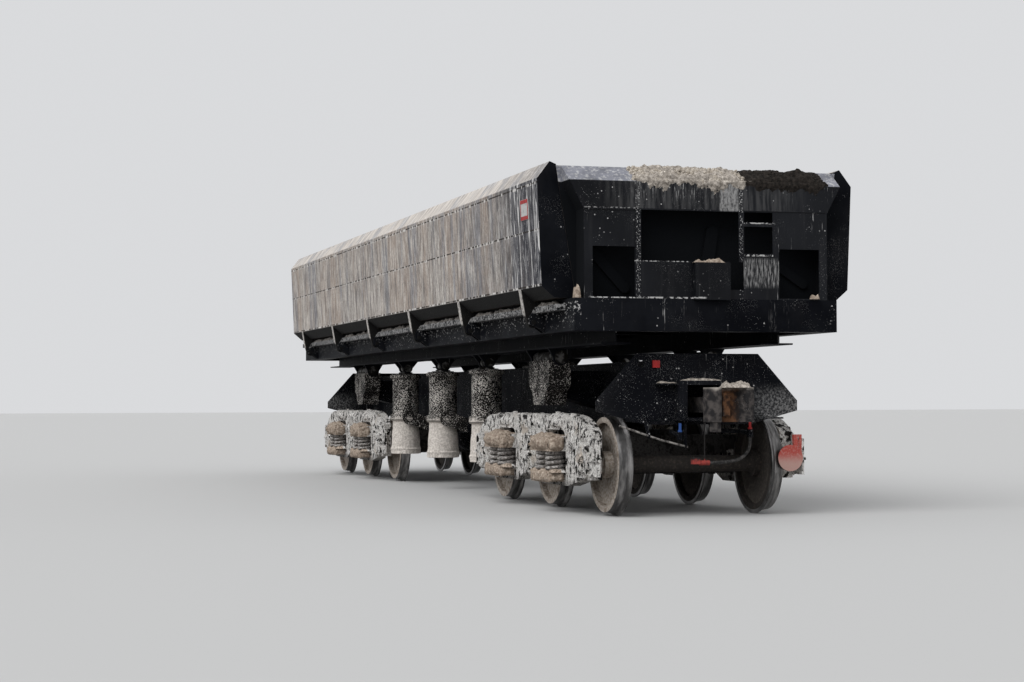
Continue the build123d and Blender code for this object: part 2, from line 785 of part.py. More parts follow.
# End walls: a hollow box of panels with windows in the front and a wider plate behind
wall_back_x = 6880
wall_panel = 12
wall_foot = frame_top
wall_fold = above_rail(2930)
wall_shoulder = above_rail(3200)
wall_crest = above_rail(3360)
board_foot = above_rail(2090)
board_foot_gap = 14
board_inner_foot_y = floor_half_width + board_foot_gap
board_spread = 196
board_inner_top_y = board_inner_foot_y + board_spread
board_inner_top_z = above_rail(3374)
wall_foot_y = floor_half_width + 15
wall_shoulder_y = board_inner_top_y - 50
wall_crest_y = board_inner_top_y - 40
wall_cut_half_width = 1500
wall_back_overlap = 8
window_cut = 4
board_lean = (board_inner_top_y - board_inner_foot_y) / (board_inner_top_z - board_foot)


def board_inner_y(z):
    """Half width of the load space at the height z."""
    return board_inner_foot_y + (z - board_foot) * board_lean


def wall_block(end_sign, inset, front_x):
    """Block with the end wall's outline, drawn in by the inset, from its back to front_x."""
    cut_x = end_sign * (body_end_x + 10)
    with BuildPart() as block:
        with BuildSketch(end_view(end_sign, wall_back_x)):
            with BuildLine():
                Polyline(
                    (-wall_foot_y + inset, wall_foot + inset),
                    (-wall_foot_y + inset, wall_fold + inset / 2),
                    (-wall_shoulder_y + inset, wall_shoulder + inset / 2),
                    (-wall_crest_y + inset, wall_crest),
                    (wall_crest_y - inset, wall_crest),
                    (wall_shoulder_y - inset, wall_shoulder + inset / 2),
                    (wall_foot_y - inset, wall_fold + inset / 2),
                    (wall_foot_y - inset, wall_foot + inset),
                    close=True,
                )
            make_face()
        extrude(amount=front_x - wall_back_x)
        with BuildSketch(side_view(wall_cut_half_width)):
            with BuildLine():
                Polyline(
                    (cut_x, wall_shoulder - inset * 1.2 - 6.4),
                    (end_sign * wall_back_x, wall_crest - inset * 1.2),
                    (end_sign * wall_back_x, wall_crest + 200),
                    (cut_x, wall_crest + 200),
                    close=True,
                )
            make_face()
        extrude(amount=2 * wall_cut_half_width, mode=Mode.SUBTRACT)
    return block.part


# Windows in the front panel, columns: left edge, right edge, bottom and top above the rail
wall_windows = (
    (-1170, -744, 2092, 2575),
    (744, 1170, 2092, 2575),
    (-680, 324, 2443, 2930),
    (379, 680, 2525, 2790),
    (379, 680, 2830, 2930),
    (227, 374, 2172, 2443),
)
# Flat strips on the front panel, same columns
wall_strips = (
    (-738, -686, 2092, 2930),
    (-1240, -738, 2925, 2950),
    (379, 1240, 2940, 2956),
    (379, 700, 2500, 2518),
)
strip_thickness = 8
# Levers of the board gear in the chamber behind the windows.
# Columns: start y and height, end y and height, width
wall_levers = (
    (130, 2745, 60, 2300, 124),
    (-1085, 2520, -780, 2190, 100),
    (800, 2440, 1090, 2250, 90),
)
lever_thickness = 36
# The gear box on the front panel
wall_box_y = 28
wall_box_z = above_rail(2250)
wall_box_width = 362
wall_box_height = 360
wall_box_depth = 70
for end_name, end_sign in ends:
    with BuildPart() as end_wall:
        add(wall_block(end_sign, 0, body_end_x))
        add(wall_block(end_sign, wall_panel, body_end_x - wall_panel), mode=Mode.SUBTRACT)
        with BuildSketch(end_view(end_sign, wall_back_x - wall_panel)):
            with BuildLine():
                Polyline(
                    (-board_inner_y(wall_foot) - wall_back_overlap, wall_foot),
                    (board_inner_y(wall_foot) + wall_back_overlap, wall_foot),
                    (board_inner_y(wall_crest) + wall_back_overlap, wall_crest),
                    (-board_inner_y(wall_crest) - wall_back_overlap, wall_crest),
                    close=True,
                )
            make_face()
        extrude(amount=wall_panel)
        for left, right, bottom, top in wall_windows:
            with BuildSketch(end_view(end_sign, body_end_x - wall_panel - window_cut)):
                with Locations(((left + right) / 2, above_rail((bottom + top) / 2))):
                    Rectangle(right - left, top - bottom)
            extrude(amount=wall_panel + 2 * window_cut, mode=Mode.SUBTRACT)
        with BuildSketch(end_view(end_sign, body_end_x)):
            with Locations((wall_box_y, wall_box_z)):
                Rectangle(wall_box_width, wall_box_height)
        extrude(amount=wall_box_depth)
        with BuildSketch(end_view(end_sign, body_end_x)):
            for left, right, bottom, top in wall_strips:
                with Locations(((left + right) / 2, above_rail((bottom + top) / 2))):
                    Rectangle(right - left, top - bottom)
        extrude(amount=strip_thickness)
        with BuildSketch(end_view(end_sign, wall_back_x - 2)):
            for start_y, start_z, end_y, end_z, width in wall_levers:
                with Locations(((start_y + end_y) / 2, above_rail((start_z + end_z) / 2))):
                    SlotCenterToCenter(
                        hypot(end_y - start_y, end_z - start_z),
                        width,
                        rotation=degrees(atan2(end_z - start_z, end_y - start_y)),
                    )
        extrude(amount=lever_thickness)
    save(end_wall, f"end_wall_{end_name}")

# Side boards: closed boxes that lean outward, on hinge arms under their ribs
board_plate = 10
# Offsets from the inner foot edge, heights above rail
board_outline = (
    (0, 2090),
    (213, 2090),
    (341, 2200),
    (387, 3235),
    (260, 3400),
    (board_spread, 3374),
)
board_hollow = (
    (10, 2099),
    (209, 2099),
    (333, 2204),
    (378, 3232),
    (257, 3389),
    (board_spread + 9, 3368),
)
arm_edge_y = board_inner_foot_y + 213
arm_tail_y = board_inner_foot_y + 350


def board_points(outline, side_sign):
    """Section points of a side board in the plane across the wagon."""
    return [(side_sign * (board_inner_foot_y + y), above_rail(z)) for y, z in outline]


arm_boss_radius = 55
for side_name, side_sign in sides:
    with BuildPart() as side_board:
        with BuildSketch(Plane.YZ.offset(-board_end_x + board_plate)):
            with BuildLine():
                Polyline(board_points(board_outline, side_sign), close=True)
            make_face()
            with BuildLine():
                Polyline(board_points(board_hollow, side_sign), close=True)
            make_face(mode=Mode.SUBTRACT)
        extrude(amount=2 * (board_end_x - board_plate))
        for station in rib_stations:
            with BuildSketch(Plane.YZ.offset(station - rib_thickness / 2)):
                with BuildLine():
                    Polyline(
                        (side_sign * (board_hinge_y - arm_boss_radius), board_hinge_z),
                        (side_sign * (board_hinge_y - arm_boss_radius), board_foot + 1),
                        (side_sign * arm_edge_y, board_foot + 1),
                        (side_sign * (arm_tail_y - 10), above_rail(2200)),
                        (side_sign * arm_tail_y, above_rail(2235)),
                        (side_sign * (arm_tail_y - 42), above_rail(1990)),
                        (side_sign * (board_hinge_y + arm_boss_radius), board_hinge_z),
                        close=True,
                    )
                make_face()
                with Locations((side_sign * board_hinge_y, board_hinge_z)):
                    Circle(arm_boss_radius)
            extrude(amount=rib_thickness)
            with BuildSketch(Plane.YZ.offset(station - bracket_inner - bracket_thickness - 6)):
                with Locations((side_sign * board_hinge_y, board_hinge_z)):
                    Circle(board_pin_radius)
            extrude(amount=2 * (bracket_inner + bracket_thickness + 6))
    save(side_board, f"side_board_{side_name}")

    with BuildPart() as board_ends:
        for end_name, end_sign in ends:
            with BuildSketch(Plane.YZ.offset(end_sign * (board_end_x - board_plate))):
                with BuildLine():
                    Polyline(board_points(board_outline, side_sign), close=True)
                make_face()
            extrude(amount=end_sign * board_plate)
    save(board_ends, f"board_ends_{side_name}")

# Air reservoirs under the sill, one on each side between two cylinder beams
reservoir_radius = 175
reservoir_length = 1480
reservoir_z = above_rail(640)
reservoir_y = 390
reservoir_dome = 90
strap_place = 480
strap_width = 60
strap_thickness = 12
with BuildPart() as air_reservoirs:
    for end_name, end_sign in ends:
        middle_x = -end_sign * cylinder_pitch / 2
        tank_y = -end_sign * reservoir_y
        half = reservoir_length / 2
        with BuildSketch(side_view(tank_y)):
            with BuildLine():
                Line((middle_x - half, reservoir_z), (middle_x + half, reservoir_z))
                Spline(
                    (middle_x + half, reservoir_z),
                    (middle_x + half - reservoir_dome, reservoir_z + reservoir_radius),
                    tangents=((0, 1), (-1, 0)),
                )
                Line(
                    (middle_x + half - reservoir_dome, reservoir_z + reservoir_radius),
                    (middle_x - half + reservoir_dome, reservoir_z + reservoir_radius),
                )
                Spline(
                    (middle_x - half + reservoir_dome, reservoir_z + reservoir_radius),
                    (middle_x - half, reservoir_z),
                    tangents=((-1, 0), (0, -1)),
                )
            make_face()
        revolve(axis=Axis((middle_x, tank_y, reservoir_z), (1, 0, 0)))
        for strap_x in (-strap_place, strap_place):
            with BuildSketch(Plane.YZ.offset(middle_x + strap_x - strap_width / 2)):
                with Locations((tank_y, (reservoir_z + sill_bottom) / 2)):
                    Rectangle(2 * (reservoir_radius + strap_thickness), sill_bottom - reservoir_z)
                with Locations((tank_y, reservoir_z)):
                    Circle(reservoir_radius + strap_thickness)
            extrude(amount=strap_width)
save(air_reservoirs, "air_reservoirs")

# Wheelsets: an axle with two wheels, turned in one piece
hub_inner_y = wheel_inner_y - 14
hub_outer_y = hub_inner_y + hub_length
rim_inner_radius = tread_radius - rim_thickness
wheel_profile = (
    (axle_radius, 0),
    (axle_radius, hub_inner_y - 30),
    (wheel_seat_radius, hub_inner_y),
    (hub_radius, hub_inner_y),
    (hub_radius, hub_inner_y + 55),
    (rim_inner_radius, wheel_inner_y + 52),
    (rim_inner_radius, wheel_inner_y),
    (flange_radius, wheel_inner_y),
    (flange_radius, wheel_inner_y + flange_width / 2),
    (tread_radius + 3, wheel_inner_y + flange_width + 8),
    (tread_radius - 8, wheel_outer_y),
    (rim_inner_radius, wheel_outer_y),
    (rim_inner_radius, wheel_inner_y + 52 + web_thickness),
    (hub_radius, hub_inner_y + 55 + web_thickness),
    (hub_radius, hub_outer_y),
    (wheel_seat_radius, hub_outer_y),
    (journal_radius, hub_outer_y + 20),
    (journal_radius, axle_half_length),
    (0, axle_half_length),
)
wheelset_number = 0
for end_name, end_sign in ends:
    for axle_step in (1, 0, -1):
        wheelset_number += 1
        axle_x = end_sign * (bogie_x + axle_step * axle_pitch)
        axle_z = above_rail(tread_radius)
        with BuildPart() as wheelset:
            with BuildSketch(Plane.XY.offset(axle_z)):
                with BuildLine():
                    Polyline(
                        [(axle_x + r, y) for r, y in wheel_profile]
                        + [(axle_x, -axle_half_length)]
                        + [(axle_x + r, -y) for r, y in reversed(wheel_profile[:-1])],
                        close=True,
                    )
                make_face()
            revolve(axis=Axis((axle_x, 0, axle_z), (0, 1, 0)))
        save(wheelset, f"wheelset_{wheelset_number}")

# Side frames: cast beams over the three axle boxes. Lengths run from the bogie's middle.
frame_outer_y = axle_half_length - 10
frame_inner_y = frame_outer_y - 135
frame_top_z = above_rail(955)
frame_shoulder_x = axle_pitch - 350
frame_arch = (axle_pitch - 30, frame_top_z - 56)
frame_nose = (axle_pitch + 200, above_rail(785))
chord_corner = 60
middle_jaw_foot = 100
frame_bottom_z = above_rail(250)
chord_end_z = above_rail(300)
jaw_leg_z = above_rail(330)
jaw_half_width = 165
jaw_clearance = 1
jaw_top = above_rail(640)
spring_window_half = 360
spring_window_crown = above_rail(810)
crown_radius = 120
spring_seat_z = above_rail(385)
seat_ledge_bottom = above_rail(300)
seat_half_length = 330
seat_edge_y = axle_half_length + 155
pedestal_end = axle_pitch + 480
pedestal_inner_end = axle_pitch + 400
pedestal_slope = 100
pedestal_slope_z = above_rail(735)
pedestal_inner_y = frame_outer_y - 25
pedestal_bottom = above_rail(370)
pedestal_top = above_rail(722)
pedestal_slot_x = axle_pitch + 330
pedestal_slot_z = above_rail(625)
pedestal_slot_width = 70
pedestal_slot_run = 80
pedestal_bar_bottom = above_rail(514)
pedestal_bar_height = 26
pedestal_bar_width = 30
boss_z = above_rail(675)
boss_radius = 90
boss_reach = 50
hook_x = 790
hook_width = 110
hook_height = 50
hook_lift = 12
hook_hole = 14
hook_half_thickness = 10

# Springs, boxes and bolsters
spring_radius = 100
spring_offset = 165
spring_y = seat_edge_y - 115
spring_top_z = above_rail(595)
bolster_top_z = above_rail(745)
bolster_bottom_z = above_rail(500)
bolster_half_width = 190
bolster_end_half = seat_half_length
bolster_end_inner_y = frame_inner_y - 65
bolster_knee_y = bolster_end_inner_y - 110
bolster_belly_y = bolster_end_inner_y - 370
bowl_base = 40
bowl_rim = 30
bowl_gap = 2
bowl_rim_height = 14
bridge_bottom = above_rail(640)
bridge_top = above_rail(800)
bridge_half_width = 260
box_inner_y = frame_inner_y - 15
box_cover_gap = 20
box_cover = 20
box_cap_radius = 105
box_radius = 150
box_bore_gap = 5
cover_bottom = above_rail(350)
cover_corner = 50
# Half width and top of the covers on the middle and on the outer boxes
middle_cover = (150, above_rail(580))
outer_cover = (200, above_rail(660))

# Brake gear: beams beside the wheels, each with a shoe at both ends
beam_from_axle = 563
beam_bar_half = 40
beam_bar_bottom = above_rail(360)
beam_bar_top = above_rail(440)
beam_bar_half_length = wheel_outer_y - 10
shoe_gap = 8
shoe_thickness = 50
shoe_inner_y = wheel_inner_y + 45
shoe_outer_y = wheel_outer_y - 10
shoe_half_angle = 17
hanger_inner_y = wheel_inner_y - 40
hanger_width = 20
hanger_foot_inset = 10
hanger_root = (spring_top_z + 10, spring_top_z + 110)
brake_places = ((axle_pitch, -1), (0, 1), (-axle_pitch, 1))
for end_name, end_sign in ends:
    bogie_mid = end_sign * bogie_x
    with BuildPart() as side_frames:
        for side_name, side_sign in sides:
            frame_mid_y = side_sign * (frame_inner_y + frame_outer_y) / 2
            with BuildSketch(Plane(origin=(bogie_mid, frame_mid_y, 0), x_dir=(1, 0, 0), z_dir=(0, -1, 0))):
                with BuildLine():
                    for half in (1, -1):
                        nose_x, nose_z = frame_nose
                        Line((0, frame_top_z), (half * frame_shoulder_x, frame_top_z))
                        ThreePointArc(
                            (half * frame_shoulder_x, frame_top_z),
                            (half * frame_arch[0], frame_arch[1]),
                            (half * nose_x, nose_z),
                        )
                        Polyline(
                            (half * nose_x, nose_z),
                            (half * nose_x, jaw_leg_z),
                            (half * (axle_pitch + jaw_half_width), jaw_leg_z),
                            (half * (axle_pitch + jaw_half_width), jaw_top),
                            (half * (axle_pitch - jaw_half_width), jaw_top),
                            (half * (axle_pitch - jaw_half_width), chord_end_z),
                            (half * (bolster_x + spring_window_half + chord_corner), frame_bottom_z),
                            (half * (bolster_x - spring_window_half - chord_corner), frame_bottom_z),
                            (half * (jaw_half_width + middle_jaw_foot), jaw_leg_z),
                            (half * jaw_half_width, jaw_leg_z),
                            (half * jaw_half_width, jaw_top),
                            (0, jaw_top),
                        )
                make_face()
                for half in (1, -1):
                    with BuildLine():
                        left = half * bolster_x - spring_window_half
                        right = half * bolster_x + spring_window_half
                        crown = spring_window_crown
                        Line((left, spring_seat_z), (right, spring_seat_z))
                        Line((right, spring_seat_z), (right, crown - crown_radius))
                        RadiusArc((right, crown - crown_radius), (right - crown_radius, crown), -crown_radius)
                        Line((right - crown_radius, crown), (left + crown_radius, crown))
                        RadiusArc((left + crown_radius, crown), (left, crown - crown_radius), -crown_radius)
                        Line((left, crown - crown_radius), (left, spring_seat_z))
                    make_face(mode=Mode.SUBTRACT)
            extrude(amount=(frame_outer_y - frame_inner_y) / 2, both=True)

            # Ledges that carry the springs
            with BuildSketch(Plane.XY.offset(seat_ledge_bottom)):
                with Locations(
                    (bogie_mid - bolster_x, side_sign * (frame_outer_y + seat_edge_y - 2) / 2),
                    (bogie_mid + bolster_x, side_sign * (frame_outer_y + seat_edge_y - 2) / 2),
                ):
                    Rectangle(2 * seat_half_length, seat_edge_y - frame_outer_y + 2)
            extrude(amount=spring_seat_z - seat_ledge_bottom)

            # Round boss over the middle box, and lifting hooks on the top
            with BuildSketch(Plane.XZ.offset(-side_sign * frame_outer_y)):
                with Locations((bogie_mid, boss_z)):
                    Circle(boss_radius)
                    Circle(boss_radius / 2, mode=Mode.SUBTRACT)
            extrude(amount=-side_sign * boss_reach)
            with BuildSketch(Plane(origin=(bogie_mid, frame_mid_y, 0), x_dir=(1, 0, 0), z_dir=(0, -1, 0))):
                with Locations((-hook_x, frame_top_z + hook_lift), (hook_x, frame_top_z + hook_lift)):
                    Rectangle(hook_width, hook_height)
                    Circle(hook_hole, mode=Mode.SUBTRACT)
            extrude(amount=hook_half_thickness, both=True)

            # Thin pedestal plates past the outer axles, with a slot and a bar. They are shorter
            # at the wagon's middle, where the cylinders stand
            pedestal_reach = {end_sign: pedestal_end, -end_sign: pedestal_inner_end}
            with BuildSketch(
                Plane(origin=(bogie_mid, side_sign * pedestal_inner_y, 0), x_dir=(1, 0, 0), z_dir=(0, -1, 0))
            ):
                for half in (1, -1):
                    with BuildLine():
                        Polyline(
                            (half * (frame_nose[0] - 2), pedestal_bottom),
                            (half * (frame_nose[0] - 2), frame_nose[1]),
                            (half * (frame_nose[0] + pedestal_slope), pedestal_slope_z),
                            (half * pedestal_reach[half], pedestal_top),
                            (half * pedestal_reach[half], pedestal_bottom),
                            close=True,
                        )
                    make_face()
                    with Locations((half * pedestal_slot_x, pedestal_slot_z)):
                        SlotCenterToCenter(pedestal_slot_run, pedestal_slot_width, rotation=90, mode=Mode.SUBTRACT)
            extrude(amount=-side_sign * (frame_outer_y - pedestal_inner_y))
            with BuildSketch(Plane.XY.offset(pedestal_bar_bottom)):
                for half in (1, -1):
                    bar_x = bogie_mid + half * (frame_nose[0] + pedestal_reach[half]) / 2
                    with Locations((bar_x, side_sign * (frame_outer_y + 5))):
                        Rectangle(pedestal_reach[half] - frame_nose[0], pedestal_bar_width)
            extrude(amount=pedestal_bar_height)
    save(side_frames, f"side_frames_{end_name}")

    with BuildPart() as axle_boxes:
        for side_name, side_sign in sides:
            for axle_step in (-1, 0, 1):
                box_x = bogie_mid + axle_step * axle_pitch
                box_z = above_rail(tread_radius)
                box_end_y = axle_half_length + box_cover_gap
                cover_half, cover_top = middle_cover if axle_step == 0 else outer_cover
                with BuildSketch(Plane.XZ.offset(-side_sign * box_inner_y)):
                    with Locations((box_x, box_z)):
                        Circle(box_radius)
                    with Locations((box_x, (box_z + jaw_top) / 2)):
                        Rectangle(2 * (jaw_half_width - jaw_clearance), jaw_top - box_z)
                extrude(amount=-side_sign * (frame_outer_y - box_inner_y))
                with BuildSketch(Plane.XZ.offset(-side_sign * frame_outer_y)):
                    with Locations((box_x, (cover_bottom + cover_top) / 2)):
                        RectangleRounded(2 * cover_half, cover_top - cover_bottom, cover_corner)
                extrude(amount=-side_sign * (box_end_y - frame_outer_y))
                with BuildSketch(Plane.XZ.offset(-side_sign * box_end_y)):
                    with Locations((box_x, box_z)):
                        Circle(box_cap_radius)
                extrude(amount=-side_sign * box_cover)
                with BuildSketch(Plane.XZ.offset(-side_sign * box_inner_y)):
                    with Locations((box_x, box_z)):
                        Circle(journal_radius + running_clearance)
                extrude(amount=-side_sign * (axle_half_length + box_bore_gap - box_inner_y), mode=Mode.SUBTRACT)
    save(axle_boxes, f"axle_boxes_{end_name}")

    with BuildPart() as bogie_bolster:
        for bolster_sign in (-1, 1):
            bolster_mid = bogie_mid + bolster_sign * bolster_x
            with BuildSketch(Plane.YZ.offset(bolster_mid - bolster_half_width)):
                with BuildLine():
                    Polyline(
                        (-bolster_end_inner_y, spring_top_z),
                        (-bolster_knee_y, spring_top_z),
                        (-bolster_belly_y, bolster_bottom_z),
                        (bolster_belly_y, bolster_bottom_z),
                        (bolster_knee_y, spring_top_z),
                        (bolster_end_inner_y, spring_top_z),
                        (bolster_end_inner_y, bolster_top_z),
                        (-bolster_end_inner_y, bolster_top_z),
                        close=True,
                    )
                make_face()
            extrude(amount=2 * bolster_half_width)
            for side_name, side_sign in sides:
                with BuildSketch(Plane.XY.offset(spring_top_z)):
                    with Locations((bolster_mid, side_sign * (bolster_end_inner_y + seat_edge_y) / 2)):
                        Rectangle(2 * bolster_end_half, seat_edge_y - bolster_end_inner_y)
                extrude(amount=bolster_top_z - spring_top_z)
        with BuildSketch(Plane.XY.offset(bridge_bottom)):
            with Locations((bogie_mid, 0)):
                Rectangle(2 * bolster_x, 2 * bridge_half_width)
        extrude(amount=bridge_top - bridge_bottom)
        with BuildSketch(Plane.XY.offset(bridge_bottom)):
            with Locations((bogie_mid, 0)):
                Circle(centre_plate_radius + bowl_base)
        extrude(amount=bowl_floor - bridge_bottom)
        with BuildSketch(Plane.XY.offset(bowl_floor)):
            with Locations((bogie_mid, 0)):
                Circle(centre_plate_radius + bowl_rim)
                Circle(centre_plate_radius + bowl_gap, mode=Mode.SUBTRACT)
        extrude(amount=bowl_rim_height)
        with BuildSketch(Plane.XY.offset(bridge_bottom)):
            with Locations((bogie_mid, 0)):
                Circle(king_pin_radius + running_clearance)
        extrude(amount=bowl_floor + bowl_rim_height - bridge_bottom, mode=Mode.SUBTRACT)
    save(bogie_bolster, f"bogie_bolster_{end_name}")

    with BuildPart() as springs:
        spring_places = [
            (bogie_mid + half * bolster_x + offset, side_sign * spring_y)
            for side_name, side_sign in sides
            for half in (-1, 1)
            for offset in (-spring_offset, spring_offset)
        ]
        with BuildSketch(Plane.XY.offset(spring_seat_z)):
            with Locations(spring_places):
                Circle(spring_radius)
        extrude(amount=spring_top_z - spring_seat_z)
    save(springs, f"springs_{end_name}")

    with BuildPart() as brake_gear:
        for axle_offset, beam_sign in brake_places:
            braked_axle = bogie_mid + axle_offset
            beam_x = braked_axle + beam_sign * beam_from_axle
            bolster_face = bogie_mid + bolster_x * (1 if beam_x > bogie_mid else -1)
            hanger_sign = 1 if beam_x > bolster_face else -1
            bolster_face += hanger_sign * bolster_half_width
            with BuildSketch(Plane.XY.offset(beam_bar_bottom)):
                with Locations((beam_x, 0)):
                    Rectangle(2 * beam_bar_half, 2 * beam_bar_half_length)
            extrude(amount=beam_bar_top - beam_bar_bottom)
            for side_name, side_sign in sides:
                with BuildSketch(
                    Plane(
                        origin=(braked_axle, side_sign * shoe_inner_y, axle_z),
                        x_dir=(beam_sign, 0, 0),
                        z_dir=(0, -beam_sign, 0),
                    )
                ):
                    inner_r = tread_radius + shoe_gap
                    with BuildLine():
                        inner_arc = CenterArc((0, 0), inner_r, -shoe_half_angle, 2 * shoe_half_angle)
                        outer_arc = CenterArc((0, 0), inner_r + shoe_thickness, -shoe_half_angle, 2 * shoe_half_angle)
                        Line(inner_arc @ 0, outer_arc @ 0)
                        Line(inner_arc @ 1, outer_arc @ 1)
                    make_face()
                extrude(amount=-beam_sign * side_sign * (shoe_outer_y - shoe_inner_y))
                with BuildSketch(Plane.XZ.offset(-side_sign * hanger_inner_y)):
                    with BuildLine():
                        Polyline(
                            (beam_x - hanger_sign * beam_bar_half, beam_bar_bottom + 2 * hanger_foot_inset),
                            (beam_x + hanger_sign * (beam_bar_half - hanger_foot_inset), beam_bar_top - hanger_foot_inset),
                            (bolster_face, hanger_root[1]),
                            (bolster_face, hanger_root[0]),
                            close=True,
                        )
                    make_face()
                extrude(amount=-side_sign * hanger_width)
    save(brake_gear, f"brake_gear_{end_name}")

# Tail disc: a sheet disc on a strap, bolted to a bracket on the front bogie's left side frame
bracket_face_x = bogie_x + pedestal_end
disc_x = bracket_face_x + 20
disc_y = frame_inner_y - 20
disc_z = above_rail(535)
disc_radius = 130
disc_sheet = 6
disc_strap_y = disc_y + 60
disc_strap_top = above_rail(765)
disc_strap_width = 40
disc_strap_sheet = 4
disc_bracket_sheet = 14
disc_bracket_inner_y = disc_y + 35
disc_bracket_foot = pedestal_bottom + 120
disc_bolt_radius = 12
disc_bolt_drop = 24
disc_hole_y = disc_y + 85
disc_hole_radius = 18
with BuildPart() as tail_disc:
    with BuildSketch(Plane.YZ.offset(disc_x)):
        with Locations((disc_y, disc_z)):
            Circle(disc_radius)
    extrude(amount=disc_sheet)
    with BuildSketch(Plane.YZ.offset(disc_x - disc_strap_sheet)):
        with Locations((disc_strap_y, (disc_z + disc_strap_top) / 2)):
            Rectangle(disc_strap_width, disc_strap_top - disc_z)
    extrude(amount=disc_strap_sheet)
    with BuildSketch(Plane.YZ.offset(bracket_face_x - disc_bracket_sheet)):
        with BuildLine():
            Polyline(
                (disc_bracket_inner_y, pedestal_top - 42),
                (disc_bracket_inner_y, disc_strap_top),
                (pedestal_inner_y, disc_strap_top),
                (pedestal_inner_y, disc_bracket_foot),
                (pedestal_inner_y - 30, disc_bracket_foot),
                close=True,
            )
        make_face()
        with Locations((disc_hole_y, pedestal_top)):
            Circle(disc_hole_radius, mode=Mode.SUBTRACT)
    extrude(amount=disc_bracket_sheet)
    with BuildSketch(Plane.YZ.offset(bracket_face_x)):
        with Locations((disc_strap_y, disc_strap_top - disc_bolt_drop)):
            Circle(disc_bolt_radius)
    extrude(amount=disc_x - disc_strap_sheet - bracket_face_x)
save(tail_disc, "tail_disc")
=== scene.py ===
import bpy
import math
from mathutils import Matrix, Vector, noise


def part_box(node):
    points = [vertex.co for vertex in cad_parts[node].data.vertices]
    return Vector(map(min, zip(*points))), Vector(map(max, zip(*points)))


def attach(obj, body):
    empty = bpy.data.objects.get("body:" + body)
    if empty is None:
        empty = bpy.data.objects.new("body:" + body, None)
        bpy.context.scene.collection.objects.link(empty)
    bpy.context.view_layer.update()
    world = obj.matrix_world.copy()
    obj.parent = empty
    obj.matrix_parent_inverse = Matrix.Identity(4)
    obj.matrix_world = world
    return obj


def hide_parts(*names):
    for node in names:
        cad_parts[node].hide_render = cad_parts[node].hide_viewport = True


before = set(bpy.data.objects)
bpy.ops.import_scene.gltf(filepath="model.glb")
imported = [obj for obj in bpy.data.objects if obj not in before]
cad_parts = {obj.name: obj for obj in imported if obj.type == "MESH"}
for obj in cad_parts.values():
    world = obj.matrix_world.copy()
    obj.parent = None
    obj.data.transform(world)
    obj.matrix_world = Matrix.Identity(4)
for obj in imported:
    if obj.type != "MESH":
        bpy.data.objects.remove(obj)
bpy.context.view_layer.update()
scene = bpy.context.scene

# Camera: the photograph's viewing angle
camera_place = Vector((25.312, -7.203, 1.123))
camera_yaw = math.radians(16.05)
camera_pitch = math.radians(1.721)
camera_roll = math.radians(-0.164)
focal_pixels = 2019.9
picture_width = 1024
sensor_width = 36.0
far_clip = 300

# Stage: the floor is darker to the light that it throws back than to the camera
floor_size = 400
floor_seen = (0.52, 0.52, 0.515)
floor_thrown_back = (0.22, 0.215, 0.21)
sky_colour = (0.93, 0.94, 0.96, 1)
sky_strength = 0.75
sun_strength = 1.8
sun_spread = math.radians(50)
sun_direction = Vector((0.45, -0.55, 0.7))


def add_camera():
    forward = Vector((
        -math.cos(camera_yaw) * math.cos(camera_pitch),
        math.sin(camera_yaw) * math.cos(camera_pitch),
        math.sin(camera_pitch),
    ))
    level_right = Vector((math.sin(camera_yaw), math.cos(camera_yaw), 0))
    level_up = level_right.cross(forward)
    right = level_right * math.cos(camera_roll) + level_up * math.sin(camera_roll)
    up = right.cross(forward)
    data = bpy.data.cameras.new("camera")
    data.sensor_width = sensor_width
    data.lens = sensor_width * focal_pixels / picture_width
    data.clip_end = far_clip
    camera = bpy.data.objects.new("camera", data)
    rotation = Matrix((right, up, -forward)).transposed()
    camera.matrix_world = Matrix.Translation(camera_place) @ rotation.to_4x4()
    scene.collection.objects.link(camera)
    scene.camera = camera


def add_lights():
    world = bpy.data.worlds.new("studio_world")
    world.use_nodes = True
    background = world.node_tree.nodes["Background"]
    background.inputs["Color"].default_value = sky_colour
    background.inputs["Strength"].default_value = sky_strength
    scene.world = world
    data = bpy.data.lights.new("sky_light", "SUN")
    data.energy = sun_strength
    data.angle = sun_spread
    light = bpy.data.objects.new("sky_light", data)
    light.rotation_euler = sun_direction.to_track_quat("Z", "Y").to_euler()
    scene.collection.objects.link(light)


# Materials. Masks run from 0 to 1, and the places in them are metres in the wagon's frame.
def tall(share):
    """Stretch of a pattern that is drawn out upright."""
    return (1, 1, share)


